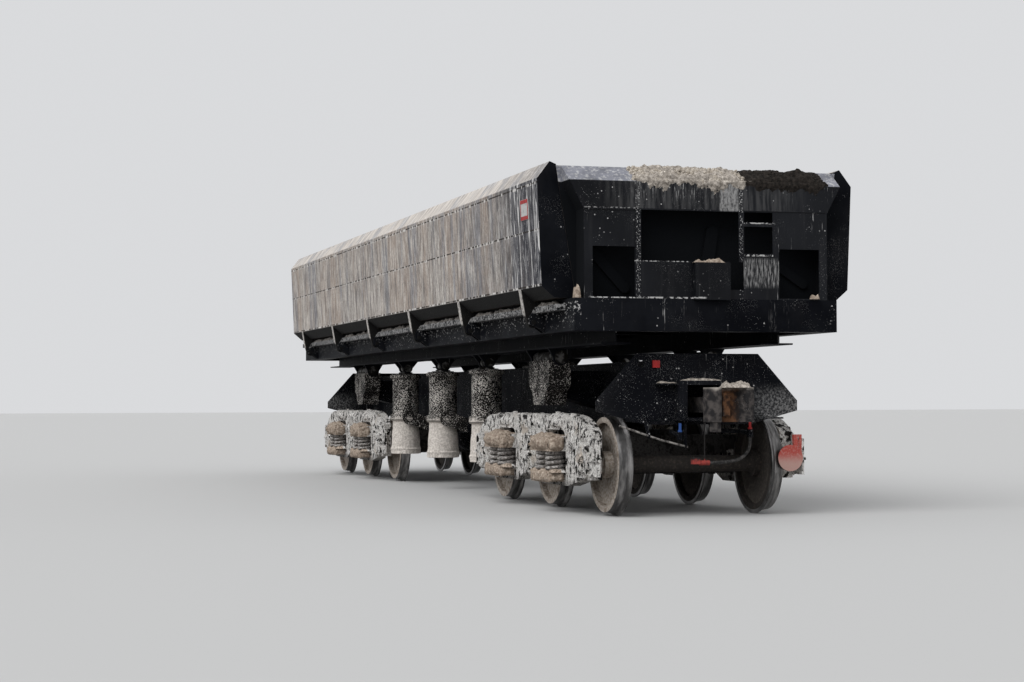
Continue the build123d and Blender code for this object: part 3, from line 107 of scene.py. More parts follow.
class Finish:
    """A node material: the principled shader and short helpers for the nodes that feed it."""

    def __init__(self, name, roughness, metallic=0, specular=0.35):
        self.material = bpy.data.materials.new(name)
        self.material.use_nodes = True
        self.tree = self.material.node_tree
        self.shader = self.tree.nodes["Principled BSDF"]
        self.shader.inputs["Roughness"].default_value = roughness
        self.shader.inputs["Metallic"].default_value = metallic
        self.shader.inputs["Specular IOR Level"].default_value = specular
        self.place = self.tree.nodes.new("ShaderNodeTexCoord")
        self.axes = self.tree.nodes.new("ShaderNodeSeparateXYZ")
        self.tree.links.new(self.place.outputs["Object"], self.axes.inputs[0])

    def feed(self, socket, value):
        if isinstance(value, bpy.types.NodeSocket):
            self.tree.links.new(value, socket)
        elif socket.type == "RGBA":
            socket.default_value = (*value, 1)
        else:
            socket.default_value = value

    def axis(self, letter):
        return self.axes.outputs[letter]

    def off_middle(self, letter):
        """Distance from the wagon's middle along an axis."""
        return self.maths("ABSOLUTE", self.axis(letter))

    def end_side(self):
        """Place across the wagon for someone who faces its end: the left is below 0."""
        return self.times(self.axis("Y"), self.maths("SIGN", self.axis("X")))

    def stretched(self, stretch):
        node = self.tree.nodes.new("ShaderNodeMapping")
        node.inputs["Scale"].default_value = stretch
        self.tree.links.new(self.place.outputs["Object"], node.inputs["Vector"])
        return node.outputs[0]

    def noise(self, scale, detail=4, stretch=(1, 1, 1), rough=0.6):
        node = self.tree.nodes.new("ShaderNodeTexNoise")
        node.inputs["Scale"].default_value = scale
        node.inputs["Detail"].default_value = detail
        node.inputs["Roughness"].default_value = rough
        self.tree.links.new(self.stretched(stretch), node.inputs["Vector"])
        return node.outputs["Fac"]

    def cells(self, scale):
        node = self.tree.nodes.new("ShaderNodeTexVoronoi")
        node.inputs["Scale"].default_value = scale
        self.tree.links.new(self.stretched((1, 1, 1)), node.inputs["Vector"])
        return node.outputs["Distance"]

    def ramp(self, value, low, high, start=0, end=1):
        node = self.tree.nodes.new("ShaderNodeMapRange")
        node.interpolation_type = "SMOOTHSTEP"
        self.feed(node.inputs["Value"], value)
        node.inputs["From Min"].default_value = low
        node.inputs["From Max"].default_value = high
        node.inputs["To Min"].default_value = start
        node.inputs["To Max"].default_value = end
        return node.outputs[0]

    def maths(self, kind, a, b=0):
        node = self.tree.nodes.new("ShaderNodeMath")
        node.operation = kind
        self.feed(node.inputs[0], a)
        self.feed(node.inputs[1], b)
        return node.outputs[0]

    def plus(self, a, b):
        return self.maths("ADD", a, b)

    def times(self, value, *others):
        for other in others:
            value = self.maths("MULTIPLY", value, other)
        return value

    def most(self, value, *others):
        for other in others:
            value = self.maths("MAXIMUM", value, other)
        return value

    def mix(self, factor, a, b):
        node = self.tree.nodes.new("ShaderNodeMix")
        node.data_type = "RGBA"
        self.feed(node.inputs["Factor"], factor)
        self.feed(node.inputs["A"], a)
        self.feed(node.inputs["B"], b)
        return node.outputs["Result"]

    def blend(self, value, low, high, a, b):
        """Colour a below the low level, b above the high one."""
        return self.mix(self.ramp(value, low, high), a, b)

    def band(self, value, low, high, soft):
        """1 between two levels, with soft edges."""
        rise = self.ramp(value, low - soft, low + soft)
        return self.times(rise, self.ramp(value, high - soft, high + soft, 1, 0))

    def clouds(self, scale, detail, low, high, start=0, end=1, stretch=(1, 1, 1), rough=0.6):
        """Noise as patches: start below the low level, end above the high one."""
        return self.ramp(self.noise(scale, detail, stretch, rough), low, high, start, end)

    def specks(self, scale, size, where):
        """Small round splashes."""
        return self.times(self.ramp(self.cells(scale), size, size * 0.45), where)

    def add_specks(self, splash, rows):
        """Columns: cells in a metre, size, scale, detail and levels of their patches, strength."""
        for density, size, scale, detail, low, high, strength in rows:
            where = self.clouds(scale, detail, low, high, 0, strength)
            splash = self.most(splash, self.specks(density, size, where))
        return splash

    def drips(self, scale, low, high):
        """Thin upright runs that break off."""
        thin = self.clouds(scale, 3, low, high, stretch=tall(0.05))
        return self.times(thin, self.clouds(scale * 0.4, 4, 0.44, 0.56, stretch=tall(0.35)))

    def colour(self, value):
        self.feed(self.shader.inputs["Base Color"], value)

    def bump(self, height, distance, strength=0.6):
        node = self.tree.nodes.new("ShaderNodeBump")
        node.inputs["Strength"].default_value = strength
        node.inputs["Distance"].default_value = distance
        self.feed(node.inputs["Height"], height)
        self.tree.links.new(node.outputs[0], self.shader.inputs["Normal"])

    def roughness(self, value):
        self.feed(self.shader.inputs["Roughness"], value)


def add_floor():
    bpy.ops.mesh.primitive_plane_add(size=floor_size, location=(0, 0, 0))
    floor = bpy.context.object
    floor.name = "studio_floor"
    finish = Finish("studio_floor", 0.9, specular=0.5)
    path = finish.tree.nodes.new("ShaderNodeLightPath")
    rays = ("Is Camera Ray", "Is Glossy Ray", "Is Transmission Ray")
    seen = finish.most(*(path.outputs[ray] for ray in rays))
    finish.colour(finish.mix(seen, floor_thrown_back, floor_seen))
    floor.data.materials.append(finish.material)


dark_paint = (0.0045, 0.005, 0.0068)
worn_paint = (0.012, 0.013, 0.016)
hollow_shade_black = (0.0042, 0.005, 0.0064)
pale_mud = (0.5, 0.46, 0.41)
grey_mud = (0.21, 0.195, 0.185)
drip_white = (0.5, 0.495, 0.49)
weld_highlight_white = (0.76, 0.74, 0.71)
soil = (0.02, 0.016, 0.013)
dry_soil = (0.1, 0.085, 0.07)

# Places that the masks follow. A side is a stretch of Finish.end_side
ledge_low_z, ledge_top_z = 2.0, 2.075
sill_low_z, sill_top_z = 1.7, 2.06
body_sill_y = (1.25, 1.3)
ledge_start_y = (1.358, 1.366)
end_plate_x = (6.76, 6.8)
spray_side, spray_z = (0.62, 1.4), (0.9, 1.22)
wall_load_face_x = (6.874, 6.871)
wall_inside_x = (6.877, 6.879)
wall_outside_x = (7.107, 7.104)
wall_bevel_z, wall_crown_z = 2.972, 3.235
wall_post_sides = ((-0.735, -0.69), (0.33, 0.368))
gravel_side, dark_dirt_side = (-0.78, 0.1), (0.4, 1.24)
panel_side, panel_z = (0.375, 0.75), (2.235, 2.5)
streak_side, streak_z = (0.13, 0.32), (2.965, 3.25)
board_fold_z, board_middle_z, board_low_z = 3.263, 2.78, 2.246
board_foot_z = (2.24, 2.226)
board_load_face_y, board_load_face_z = 1.462, (2.1, 2.13)
arm_tail_y, arm_tail_z, arm_lean = 1.604, 2.263, 0.1714
half_rib_pitch = 1.22
thin_mud_x = (5.2, 8.2)
barrel_ring_z = (0.872, 0.885)
side_frame_y = (0.925, 0.9)
box_face_y = (1.122, 1.126)
wheel_inside_y = (0.8, 0.76)
tread_share = 0.4636
throat_side, coupler_dust_z = (0.12, 0.27), (1.27, 1.33)


def load_side_dirt(finish):
    """Colour of the faces that the load touches."""
    return finish.mix(finish.clouds(7, 7, 0.4, 0.65), soil, dry_soil)


def splashed_paint(name, speckle, drip, dust):
    """Dark paint with pale speckles, upright drips and a film of dust; each a share from 0 to 1."""
    finish = Finish(name, 0.5, specular=0.01)
    height, outer, side = finish.axis("Z"), finish.off_middle("Y"), finish.end_side()
    film = finish.clouds(3.0, 8, 0.46, 0.8, 0, dust, tall(0.35))
    base = finish.mix(finish.clouds(1.3, 5, 0.35, 0.7), dark_paint, worn_paint)
    base = finish.mix(film, base, (0.05, 0.047, 0.044))
    runs = finish.clouds(1.7, 3, 0.56 - 0.12 * drip, 0.7 - 0.1 * drip, stretch=tall(0.2))
    splash = finish.times(finish.drips(62, 0.62, 0.7), runs)
    splash = finish.add_specks(splash, (
        (55, 0.16, 3.5, 6, 0.62 - 0.22 * speckle, 0.72 - 0.12 * speckle, 1),
        (130, 0.2, 2.1, 5, 0.66 - 0.26 * speckle, 0.72 - 0.16 * speckle, 1),
        (15, 0.14, 2.7, 6, 0.6 - 0.16 * speckle, 0.66 - 0.12 * speckle, 1),
    ))
    caked = finish.times(
        finish.ramp(outer, *ledge_start_y),
        finish.band(height, ledge_low_z, ledge_top_z, 0.012),
        finish.clouds(34, 6, 0.44, 0.56),
        0.6,
    )
    sill = finish.times(
        finish.ramp(outer, *body_sill_y),
        finish.ramp(height, sill_low_z, sill_top_z, 0.05, 1),
        finish.ramp(height, ledge_top_z - 0.001, ledge_top_z + 0.003, 1, 0),
    )
    flecks = finish.plus(finish.noise(44, 4, (0.5, 1, 1)), finish.times(sill, 0.12))
    flecks = finish.times(finish.ramp(flecks, 0.69, 0.73), sill)
    spray = finish.times(
        finish.band(side, *spray_side, 0.16),
        finish.band(height, *spray_z, 0.1),
        finish.ramp(finish.off_middle("X"), *end_plate_x),
        finish.clouds(48, 6, 0.42, 0.64, 0.05, 0.4),
    )
    splash = finish.most(splash, caked, flecks, spray)
    finish.colour(finish.mix(splash, base, drip_white))
    finish.roughness(finish.ramp(finish.most(splash, film), 0, 1, 0.45, 0.9))
    finish.bump(finish.plus(splash, finish.noise(60, 4)), 0.002, 0.35)
    return finish.material


def end_wall_splash(finish, height, side, bevel):
    """Pale drips, posts and weld lines on the outer face of an end wall."""
    below_heap = finish.times(finish.band(side, *gravel_side, 0.08), bevel)
    thin = finish.times(finish.drips(80, 0.54, 0.64), below_heap, finish.ramp(height, 2.98, 3.24))
    broad = finish.times(finish.clouds(9, 5, 0.62, 0.78, stretch=tall(0.25)), below_heap, 0.3)
    under_window = finish.times(
        finish.band(side, *panel_side, 0.012),
        finish.band(height, *panel_z, 0.03),
        finish.clouds(75, 5, 0.44, 0.62, 0.02, 0.5, tall(0.12)),
    )
    light = finish.times(
        finish.drips(60, 0.64, 0.72), finish.clouds(1.8, 3, 0.5, 0.62, stretch=tall(0.3))
    )
    left_post, right_post = (finish.band(side, *post, 0.004) for post in wall_post_sides)
    posts = finish.times(
        finish.most(left_post, right_post),
        finish.clouds(70, 3, 0.57, 0.62),
        finish.band(height, 2.1, 3.2, 0.1),
    )
    streak = finish.times(
        finish.band(side, *streak_side, 0.015),
        finish.band(height, *streak_z, 0.01),
        finish.clouds(34, 7, 0.36, 0.6, 0.08, 0.62, tall(0.5), 0.7),
    )
    splash = finish.most(thin, broad, under_window, light, posts, streak)
    splash = finish.add_specks(splash, (
        (60, 0.15, 3.4, 5, 0.5, 0.66, 1),
        (140, 0.2, 2.3, 5, 0.54, 0.66, 0.5),
        (16, 0.13, 2.9, 6, 0.46, 0.56, 1),
    ))
    dashes = finish.clouds(30, 4, 0.46, 0.54)
    # Weld lines. Columns: left end, right end, blur of the ends, low edge, high edge, strength
    for left, right, blur, low, high, strength in (
        (-1.2, -0.05, 0.02, 2.108, 2.124, 1),
        (-1.2, -0.05, 0.02, 2.462, 2.47, 1),
        (0.38, 0.7, 0.01, 2.528, 2.546, 1),
        (0.38, 0.7, 0.01, 2.845, 2.86, 1),
        (-1.25, -0.74, 0.01, 2.966, 2.978, 0.5),
    ):
        length, width = finish.band(side, left, right, blur), finish.band(height, low, high, 0.002)
        splash = finish.most(splash, finish.times(length, width, strength, dashes))
    return splash


def end_wall_paint(name):
    """End walls: splashed outside, dusty on the crown, black painted shade in the hollow inside,
    dirt on the load's side.
    """
    finish = Finish(name, 0.45, specular=0.12)
    height, side, depth = finish.axis("Z"), finish.end_side(), finish.off_middle("X")
    bevel = finish.band(height, wall_bevel_z, wall_crown_z, 0.006)
    base = finish.mix(finish.clouds(0.9, 6, 0.35, 0.7), dark_paint, worn_paint)
    faded = finish.clouds(14, 8, 0.5, 0.8, 0, 0.16, tall(0.08))
    base = finish.mix(faded, base, (0.08, 0.078, 0.08))
    dusty = finish.clouds(24, 6, 0.35, 0.7, 0, 0.1, tall(0.12))
    dusty = finish.times(finish.band(side, -1.0, 0.9, 0.2), bevel, dusty)
    base = finish.mix(dusty, base, drip_white)
    crown = finish.ramp(height, wall_crown_z - 0.01, wall_crown_z + 0.001)
    crown = finish.times(crown, finish.clouds(5, 6, 0.3, 0.62, 0.55, 1))
    dust = finish.mix(finish.clouds(28, 6, 0.5, 0.62), (0.25, 0.255, 0.29), (0.46, 0.46, 0.47))
    base = finish.mix(crown, base, dust)
    base = finish.mix(finish.band(side, *dark_dirt_side, 0.05), base, finish.mix(crown, base, soil))
    load_side = finish.ramp(depth, *wall_load_face_x)
    splash = finish.times(
        end_wall_splash(finish, height, side, bevel), finish.ramp(load_side, 0, 1, 1, 0)
    )
    colour = finish.mix(load_side, finish.mix(splash, base, drip_white), load_side_dirt(finish))
    # Painted shade: the hollow inside the wall is plain black below its top.
    inside = finish.times(finish.ramp(depth, *wall_outside_x), finish.ramp(depth, *wall_inside_x))
    dark_and_shade = finish.times(inside, finish.ramp(height, 3.2, 3.1))
    finish.colour(finish.mix(dark_and_shade, colour, hollow_shade_black))
    finish.roughness(finish.ramp(finish.most(splash, crown, inside), 0, 1, 0.42, 0.95))
    finish.bump(finish.plus(splash, finish.noise(40, 5)), 0.003, 0.3)
    return finish.material


def board_streaks(finish, streaks, grain):
    """Dried mud of the side boards, in brown, grey and pale streaks."""
    wide = finish.noise(11, 6, tall(0.2), 0.7)
    mud = finish.blend(streaks, 0.42, 0.58, (0.25, 0.225, 0.205), (0.56, 0.515, 0.475))
    tan = finish.clouds(1.3, 6, 0.42, 0.6, 0, 0.7, tall(0.2), 0.65)
    mud = finish.mix(tan, mud, (0.42, 0.335, 0.275))
    cool = finish.clouds(2.9, 7, 0.5, 0.6, 0, 0.8, tall(0.13), 0.7)
    cool_mud = finish.blend(streaks, 0.4, 0.6, (0.15, 0.155, 0.18), (0.38, 0.38, 0.395))
    mud = finish.mix(cool, mud, cool_mud)
    mud = finish.mix(finish.ramp(wide, 0.52, 0.62, 0, 0.7), mud, (0.7, 0.66, 0.61))
    mud = finish.mix(finish.ramp(wide, 0.47, 0.38, 0, 0.65), mud, (0.13, 0.125, 0.125))
    return finish.mix(finish.ramp(grain, 0.5, 0.62, 0, 0.7), mud, (0.16, 0.145, 0.135))


def board_crown(finish):
    """Dust on the sloping top of the side boards."""
    across = finish.noise(30, 6, (1, 0.12, 0.12))
    dust = finish.blend(across, 0.38, 0.6, (0.42, 0.385, 0.355), (0.7, 0.65, 0.595))
    cool = finish.blend(across, 0.4, 0.6, (0.22, 0.225, 0.25), (0.5, 0.5, 0.51))
    return finish.mix(finish.clouds(4.2, 6, 0.5, 0.58, 0, 0.6, (1, 0.4, 0.4)), dust, cool)


def board_arms_and_underside_shade(finish, height):
    """Hinge arms and the board's underside: dark and speckled, the underside dark as painted shade,
    with mud caked on the arms' edge.
    """
    where = finish.clouds(6, 5, 0.4, 0.6, 0.25, 1)
    speckled = finish.times(finish.specks(75, 0.24, where), 0.2)
    arm = finish.mix(speckled, (0.005, 0.0047, 0.0047), (0.3, 0.285, 0.27))
    lean = finish.times(finish.maths("SUBTRACT", arm_tail_z, height), arm_lean)
    edge = finish.plus(finish.off_middle("Y"), lean)
    on_rib = finish.maths("PINGPONG", finish.axis("X"), half_rib_pitch)
    caked = finish.times(
        finish.ramp(edge, arm_tail_y - 0.01, arm_tail_y - 0.004),
        finish.ramp(on_rib, half_rib_pitch - 0.042, half_rib_pitch - 0.038),
        finish.clouds(40, 5, 0.36, 0.56, 0.35, 1),
    )
    return finish.mix(caked, arm, (0.62, 0.59, 0.555))


def board_coat(name):
    """Side boards: mud in upright streaks, thin at one end, dark weld lines with painted
    highlights, a pale crown, painted shade below.
    """
    finish = Finish(name, 0.88, specular=0.2)
    height = finish.axis("Z")
    streaks = finish.noise(34, 8, tall(0.11), 0.75)
    grain = finish.noise(60, 7, tall(0.5), 0.75)
    bare = finish.blend(streaks, 0.46, 0.66, (0.02, 0.022, 0.031), (0.24, 0.24, 0.255))
    wander = finish.times(finish.noise(2.2, 5, tall(0.35)), 2.4)
    near_plate = finish.times(finish.axis("X"), finish.maths("SIGN", finish.axis("Y")), -1)
    thin = finish.ramp(finish.plus(near_plate, wander), *thin_mud_x)
    coat = finish.mix(thin, board_streaks(finish, streaks, grain), bare)
    drops = finish.most(finish.drips(70, 0.58, 0.66), finish.drips(26, 0.6, 0.66))
    drops = finish.times(drops, finish.ramp(thin, 0, 1, 0.4, 1))
    coat = finish.mix(drops, coat, (0.72, 0.71, 0.7))
    runs = finish.times(finish.drips(13, 0.56, 0.61), finish.ramp(thin, 0.25, 0.7))
    coat = finish.mix(runs, coat, (0.76, 0.75, 0.74))
    specks = finish.specks(64, 0.22, finish.clouds(5, 5, 0.4, 0.58, 0.2, 1))
    coat = finish.mix(finish.times(specks, 0.7), coat, (0.6, 0.58, 0.56))
    crown = finish.ramp(height, board_fold_z, board_fold_z + 0.012)
    dusted = finish.times(crown, finish.ramp(thin, 0, 1, 0.94, 0.6))
    coat = finish.mix(dusted, coat, board_crown(finish))
    dashes = finish.noise(16, 2, tall(0.2))
    for weld_z in (board_fold_z - 0.035, board_middle_z, board_low_z):
        line = finish.band(height, weld_z - 0.008, weld_z + 0.006, 0.003)
        line = finish.times(line, finish.ramp(dashes, 0.44, 0.5))
        coat = finish.mix(line, coat, (0.03, 0.024, 0.021))
        # Painted highlights: white glints between the dark dashes of each weld line.
        weld_highlight = finish.band(height, weld_z - 0.019, weld_z + 0.008, 0.004)
        weld_highlight = finish.times(weld_highlight, finish.ramp(dashes, 0.47, 0.42, 0, 0.8))
        coat = finish.mix(weld_highlight, coat, weld_highlight_white)
    # Below the board's foot: dark speckled paint, with painted shade on the board's underside.
    coat = finish.blend(height, *board_foot_z, coat, board_arms_and_underside_shade(finish, height))
    inner = finish.maths("LESS_THAN", finish.off_middle("Y"), board_load_face_y)
    load_side = finish.times(inner, finish.ramp(height, *board_load_face_z))
    finish.colour(finish.mix(load_side, coat, load_side_dirt(finish)))
    finish.bump(finish.plus(streaks, grain), 0.004, 0.45)
    return finish.material


def cylinder_coat(name, foot_top=1.04, sparse=0):
    """Dark and speckled above, a thick pale coat on the foot. A sparse share thins the speckles."""
    finish = Finish(name, 0.88, specular=0.2)
    height = finish.plus(finish.axis("Z"), finish.times(finish.noise(6, 5), 0.22))
    grains = finish.noise(74, 4)
    grains_up = finish.plus(grains, finish.times(finish.clouds(5, 6, 0.35, 0.65), 0.09))
    speckled = finish.ramp(grains_up, 0.565 + sparse, 0.605 + sparse)
    upper = finish.mix(speckled, (0.01, 0.009, 0.0085), (0.66, 0.625, 0.58))
    lower = finish.mix(finish.clouds(40, 6, 0.35, 0.65), (0.52, 0.475, 0.43), (0.8, 0.745, 0.685))
    pits = finish.specks(40, 0.2, finish.clouds(7, 5, 0.45, 0.6))
    lower = finish.mix(pits, lower, (0.16, 0.13, 0.105))
    coat = finish.blend(height, foot_top, foot_top - 0.06, upper, lower)
    ring = finish.times(finish.band(finish.axis("Z"), *barrel_ring_z, 0.003), 0.85)
    finish.colour(finish.mix(ring, coat, (0.03, 0.026, 0.024)))
    finish.bump(finish.plus(grains, finish.noise(14, 6)), 0.008, 0.5)
    return finish.material


def cast_coat(name):
    """Bogies: pale splashed mud on cast steel, dark where it fell off, painted shade inboard of the
    side frames, darker towards the bottom, earth on the box faces.
    """
    finish = Finish(name, 0.92, specular=0.15)
    outer = finish.off_middle("Y")
    clumps = finish.noise(11, 8, rough=0.72)
    fine = finish.noise(55, 6)
    mud = finish.blend(fine, 0.36, 0.56, (0.32, 0.3, 0.28), (0.8, 0.78, 0.75))
    mud = finish.mix(finish.clouds(3.1, 5, 0.56, 0.7, 0, 0.7), mud, (0.5, 0.42, 0.34))
    worn = finish.plus(clumps, finish.times(finish.noise(30, 4, tall(0.5)), 0.5))
    # Painted shade: the parts inboard of the side frames are nearly black. The bogie also gets
    # darker towards the bottom.
    inboard_shade = finish.ramp(outer, *side_frame_y, 0, 0.95)
    low = finish.ramp(finish.axis("Z"), 0.36, 0.29, 0, 0.5)
    dark_and_shade = finish.most(finish.ramp(worn, 0.785, 0.81), inboard_shade, low)
    coat = finish.mix(dark_and_shade, mud, (0.018, 0.016, 0.015))
    earth = finish.blend(fine, 0.36, 0.6, (0.22, 0.165, 0.125), (0.6, 0.5, 0.41))
    earth = finish.blend(worn, 0.92, 0.98, earth, (0.05, 0.04, 0.032))
    finish.colour(finish.blend(outer, *box_face_y, coat, earth))
    finish.bump(finish.plus(clumps, finish.times(fine, 0.5)), 0.035, 0.85)
    return finish.material


def wheel_coat(name):
    """Wheelsets: muddy discs, and polished treads from a share of the wheel's box outwards."""
    finish = Finish(name, 0.6)
    own = finish.tree.nodes.new("ShaderNodeSeparateXYZ")
    finish.tree.links.new(finish.place.outputs["Generated"], own.inputs[0])
    squares = [
        finish.maths("POWER", finish.maths("SUBTRACT", own.outputs[letter], 0.5), 2)
        for letter in ("X", "Z")
    ]
    radius = finish.maths("SQRT", finish.plus(*squares))
    tread = finish.ramp(radius, tread_share - 0.002, tread_share + 0.001)
    grains = finish.noise(34, 6)
    mud = finish.blend(grains, 0.36, 0.66, (0.27, 0.225, 0.185), (0.5, 0.455, 0.405))
    mud = finish.mix(finish.clouds(9, 6, 0.54, 0.68, 0, 0.7), mud, (0.14, 0.1, 0.075))
    specks = finish.specks(60, 0.2, finish.clouds(5, 4, 0.45, 0.6))
    mud = finish.mix(specks, mud, (0.05, 0.035, 0.028))
    grime = finish.blend(grains, 0.5, 0.7, (0.014, 0.012, 0.011), (0.05, 0.036, 0.028))
    inside = finish.times(finish.ramp(finish.off_middle("Y"), *wheel_inside_y), 0.96)
    mud = finish.mix(inside, mud, grime)
    rings = finish.clouds(18, 5, 0.4, 0.7, stretch=(0.2, 1, 0.2))
    worn = finish.mix(rings, (0.075, 0.073, 0.072), (0.3, 0.29, 0.285))
    finish.colour(finish.mix(tread, mud, worn))
    finish.feed(finish.shader.inputs["Metallic"], finish.times(tread, 0.85))
    finish.roughness(finish.ramp(tread, 0, 1, 0.92, 0.3))
    finish.bump(grains, 0.006, 0.4)
    return finish.material


def rusty_cast(name):
    """Couplers: grey cast steel, rust in the throat, dust on the top."""
    finish = Finish(name, 0.85, specular=0.2)
    grey = finish.mix(finish.clouds(12, 7, 0.4, 0.65), (0.018, 0.017, 0.018), (0.085, 0.075, 0.07))
    rusty = finish.mix(finish.clouds(16, 7, 0.4, 0.62), (0.04, 0.022, 0.015), (0.18, 0.088, 0.045))
    wander = finish.plus(finish.end_side(), finish.times(finish.noise(7, 5), 0.12))
    base = finish.mix(finish.band(wander, *throat_side, 0.02), grey, rusty)
    height = finish.plus(finish.axis("Z"), finish.times(finish.noise(9, 5), 0.1))
    base = finish.mix(finish.ramp(height, *coupler_dust_z, 0, 0.9), base, pale_mud)
    specks = finish.specks(70, 0.16, finish.clouds(5, 5, 0.5, 0.62))
    finish.colour(finish.mix(specks, base, drip_white))
    finish.bump(finish.noise(25, 6), 0.006, 0.6)
    return finish.material


def greasy_steel(name):
    """Pins, stages and rods: bright steel under dark grease."""
    finish = Finish(name, 0.4, 0.8)
    grime = finish.clouds(12, 6, 0.35, 0.55)
    finish.colour(finish.mix(grime, (0.16, 0.155, 0.15), (0.016, 0.014, 0.012)))
    finish.roughness(finish.ramp(grime, 0, 1, 0.35, 0.8))
    finish.bump(grime, 0.002, 0.3)
    return finish.material


def plain_coat(name, colour, grime, roughness=0.6, share=0.45):
    """One colour under a patchy film of grime."""
    finish = Finish(name, roughness)
    finish.colour(finish.mix(finish.clouds(30, 6, 0.4, 0.7, 0, share), colour, grime))
    finish.bump(finish.noise(60, 4), 0.002, 0.3)
    return finish.material


def two_tone(name, low_colour, high_colour, low, high, grime, share=0.5):
    """One colour below a height, another above it, both patchy."""
    finish = Finish(name, 0.75)
    height = finish.plus(finish.axis("Z"), finish.times(finish.noise(22, 5), 0.06))
    base = finish.blend(height, low, high, low_colour, high_colour)
    finish.colour(finish.mix(finish.clouds(48, 5, 0.5, 0.6, 0, share), base, grime))
    finish.bump(finish.noise(60, 4), 0.003, 0.4)
    return finish.material


def heap_coat(name, low, high, scale=30):
    """Loose grains: light on the lumps, dark between them as painted shade in the creases."""
    finish = Finish(name, 0.95, specular=0.15)
    grains = finish.noise(scale, 7, rough=0.7)
    lumps = finish.cells(scale * 0.7)
    # Painted shade: darker in the creases between the lumps.
    tone_and_crevice_shade = finish.times(finish.ramp(grains, 0.35, 0.65), finish.ramp(lumps, 0.75, 0.2, 0.55, 1))
    finish.colour(finish.mix(tone_and_crevice_shade, low, high))
    finish.bump(finish.plus(grains, finish.times(lumps, -0.6)), 0.012, 0.8)
    return finish.material


frame_paint = splashed_paint("frame_paint", 1.0, 0.2, 0.14)
body_paint = splashed_paint("body_paint", 0.45, 0.35, 0.14)
rod_dust = plain_coat("rod_dust", (0.34, 0.32, 0.3), (0.016, 0.014, 0.013), 0.85, 0.95)
end_paint = end_wall_paint("end_wall_paint")
board_mud = board_coat("board_mud")
cylinder_mud = cylinder_coat("cylinder_mud")
saddle_mud = cylinder_coat("saddle_mud", 0.2, 0.045)
bogie_mud = cast_coat("bogie_mud")
wheel_steel = wheel_coat("wheel_steel")
coupler_rust = rusty_cast("coupler_rust")
pin_steel = greasy_steel("pin_steel")
spring_steel = heap_coat("spring_steel", (0.1, 0.09, 0.085), (0.66, 0.63, 0.6), 46)
hose_rubber = plain_coat("hose_rubber", (0.012, 0.012, 0.012), grey_mud, 0.7)
disc_red = two_tone(
    "disc_red", (0.48, 0.3, 0.26), (0.42, 0.07, 0.055), 0.53, 0.66, (0.5, 0.27, 0.24)
)
red_enamel = plain_coat("red_enamel", (0.42, 0.02, 0.02), soil)
head_red = two_tone("head_red", (0.34, 0.05, 0.04), (0.01, 0.009, 0.009), 0.575, 0.6, soil)
blue_enamel = plain_coat("blue_enamel", (0.03, 0.1, 0.34), soil)
load_dirt = heap_coat("load_dirt", soil, (0.11, 0.095, 0.08), 14)
tan_heap = heap_coat("tan_heap", (0.2, 0.15, 0.115), (0.6, 0.51, 0.42), 38)
pale_heap = heap_coat("pale_heap", (0.2, 0.175, 0.15), (0.66, 0.6, 0.53), 34)
dark_heap = heap_coat("dark_heap", (0.008, 0.007, 0.006), (0.04, 0.033, 0.028), 30)
gravel_stone = heap_coat("gravel_stone", (0.3, 0.26, 0.21), (0.68, 0.62, 0.54), 45)
ledge_heap = heap_coat("ledge_heap", (0.045, 0.04, 0.036), (0.4, 0.37, 0.34), 30)
plate_white = plain_coat("plate_white", (0.55, 0.55, 0.54), grey_mud)

# Materials by how a node's name starts; the others get frame_paint
finish_by_start = (
    (end_paint, ("end_wall",)),
    (board_mud, ("side_board",)),
    (body_paint, ("board_ends", "upper_frame", "tip_lugs")),
    (cylinder_mud, ("cylinder_barrels",)),
    (saddle_mud, ("trunnion_ears", "pivot_saddles")),
    (pin_steel, ("cylinder_stages", "cylinder_rods", "tip_pins")),
    (bogie_mud, ("side_frames", "axle_boxes", "bogie_bolster", "brake_gear")),
    (spring_steel, ("springs",)),
    (wheel_steel, ("wheelset",)),
    (coupler_rust, ("coupler",)),
    (rod_dust, ("uncoupling_rods",)),
    (load_dirt, ("floor",)),
    (red_enamel, ("cock_handles_red",)),
    (blue_enamel, ("cock_handles_blue",)),
    (head_red, ("hose_head",)),
    (hose_rubber, ("brake_hose",)),
    (disc_red, ("tail_disc",)),
)


def paint_nodes():
    for name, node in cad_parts.items():
        found = (material for material, starts in finish_by_start if name.startswith(starts))
        node.data.materials.clear()
        node.data.materials.append(next(found, frame_paint))


# Loose mud, stones and small parts
axis_x, axis_y, axis_z = Vector((1, 0, 0)), Vector((0, 1, 0)), Vector((0, 0, 1))
ends = (("front", 1), ("rear", -1))
sides = (("right", -1), ("left", 1))
heap_sink = 0.002


def link_piece(name, data, body):
    piece = bpy.data.objects.new(name, data)
    scene.collection.objects.link(piece)
    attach(piece, body)
    return piece


def add_piece(name, shape, material, body, smooth=True):
    vertices, faces = shape
    mesh = bpy.data.meshes.new(name)
    mesh.from_pydata(vertices, [], faces)
    mesh.update()
    if smooth:
        mesh.polygons.foreach_set("use_smooth", [True] * len(mesh.polygons))
    mesh.materials.append(material)
    return link_piece(name, mesh, body)


def join_meshes(parts):
    vertices, faces = [], []
    for more_vertices, more_faces in parts:
        base = len(vertices)
        vertices += more_vertices
        faces += [tuple(base + v for v in face) for face in more_faces]
    return vertices, faces


def lumpy(x, y, z=0, scale=1):
    """Fixed noise from about -1 to 1."""
    return noise.fractal(Vector((x * scale, y * scale, z * scale)), 0.8, 2.2, 4)


def spread(n):
    """The nth of many places that are spread evenly: two numbers from -1 to 1, one from 0 to 1."""
    return 2 * ((n * 0.6180339) % 1) - 1, 2 * ((n * 0.7548776) % 1) - 1, (n * 0.5698402) % 1


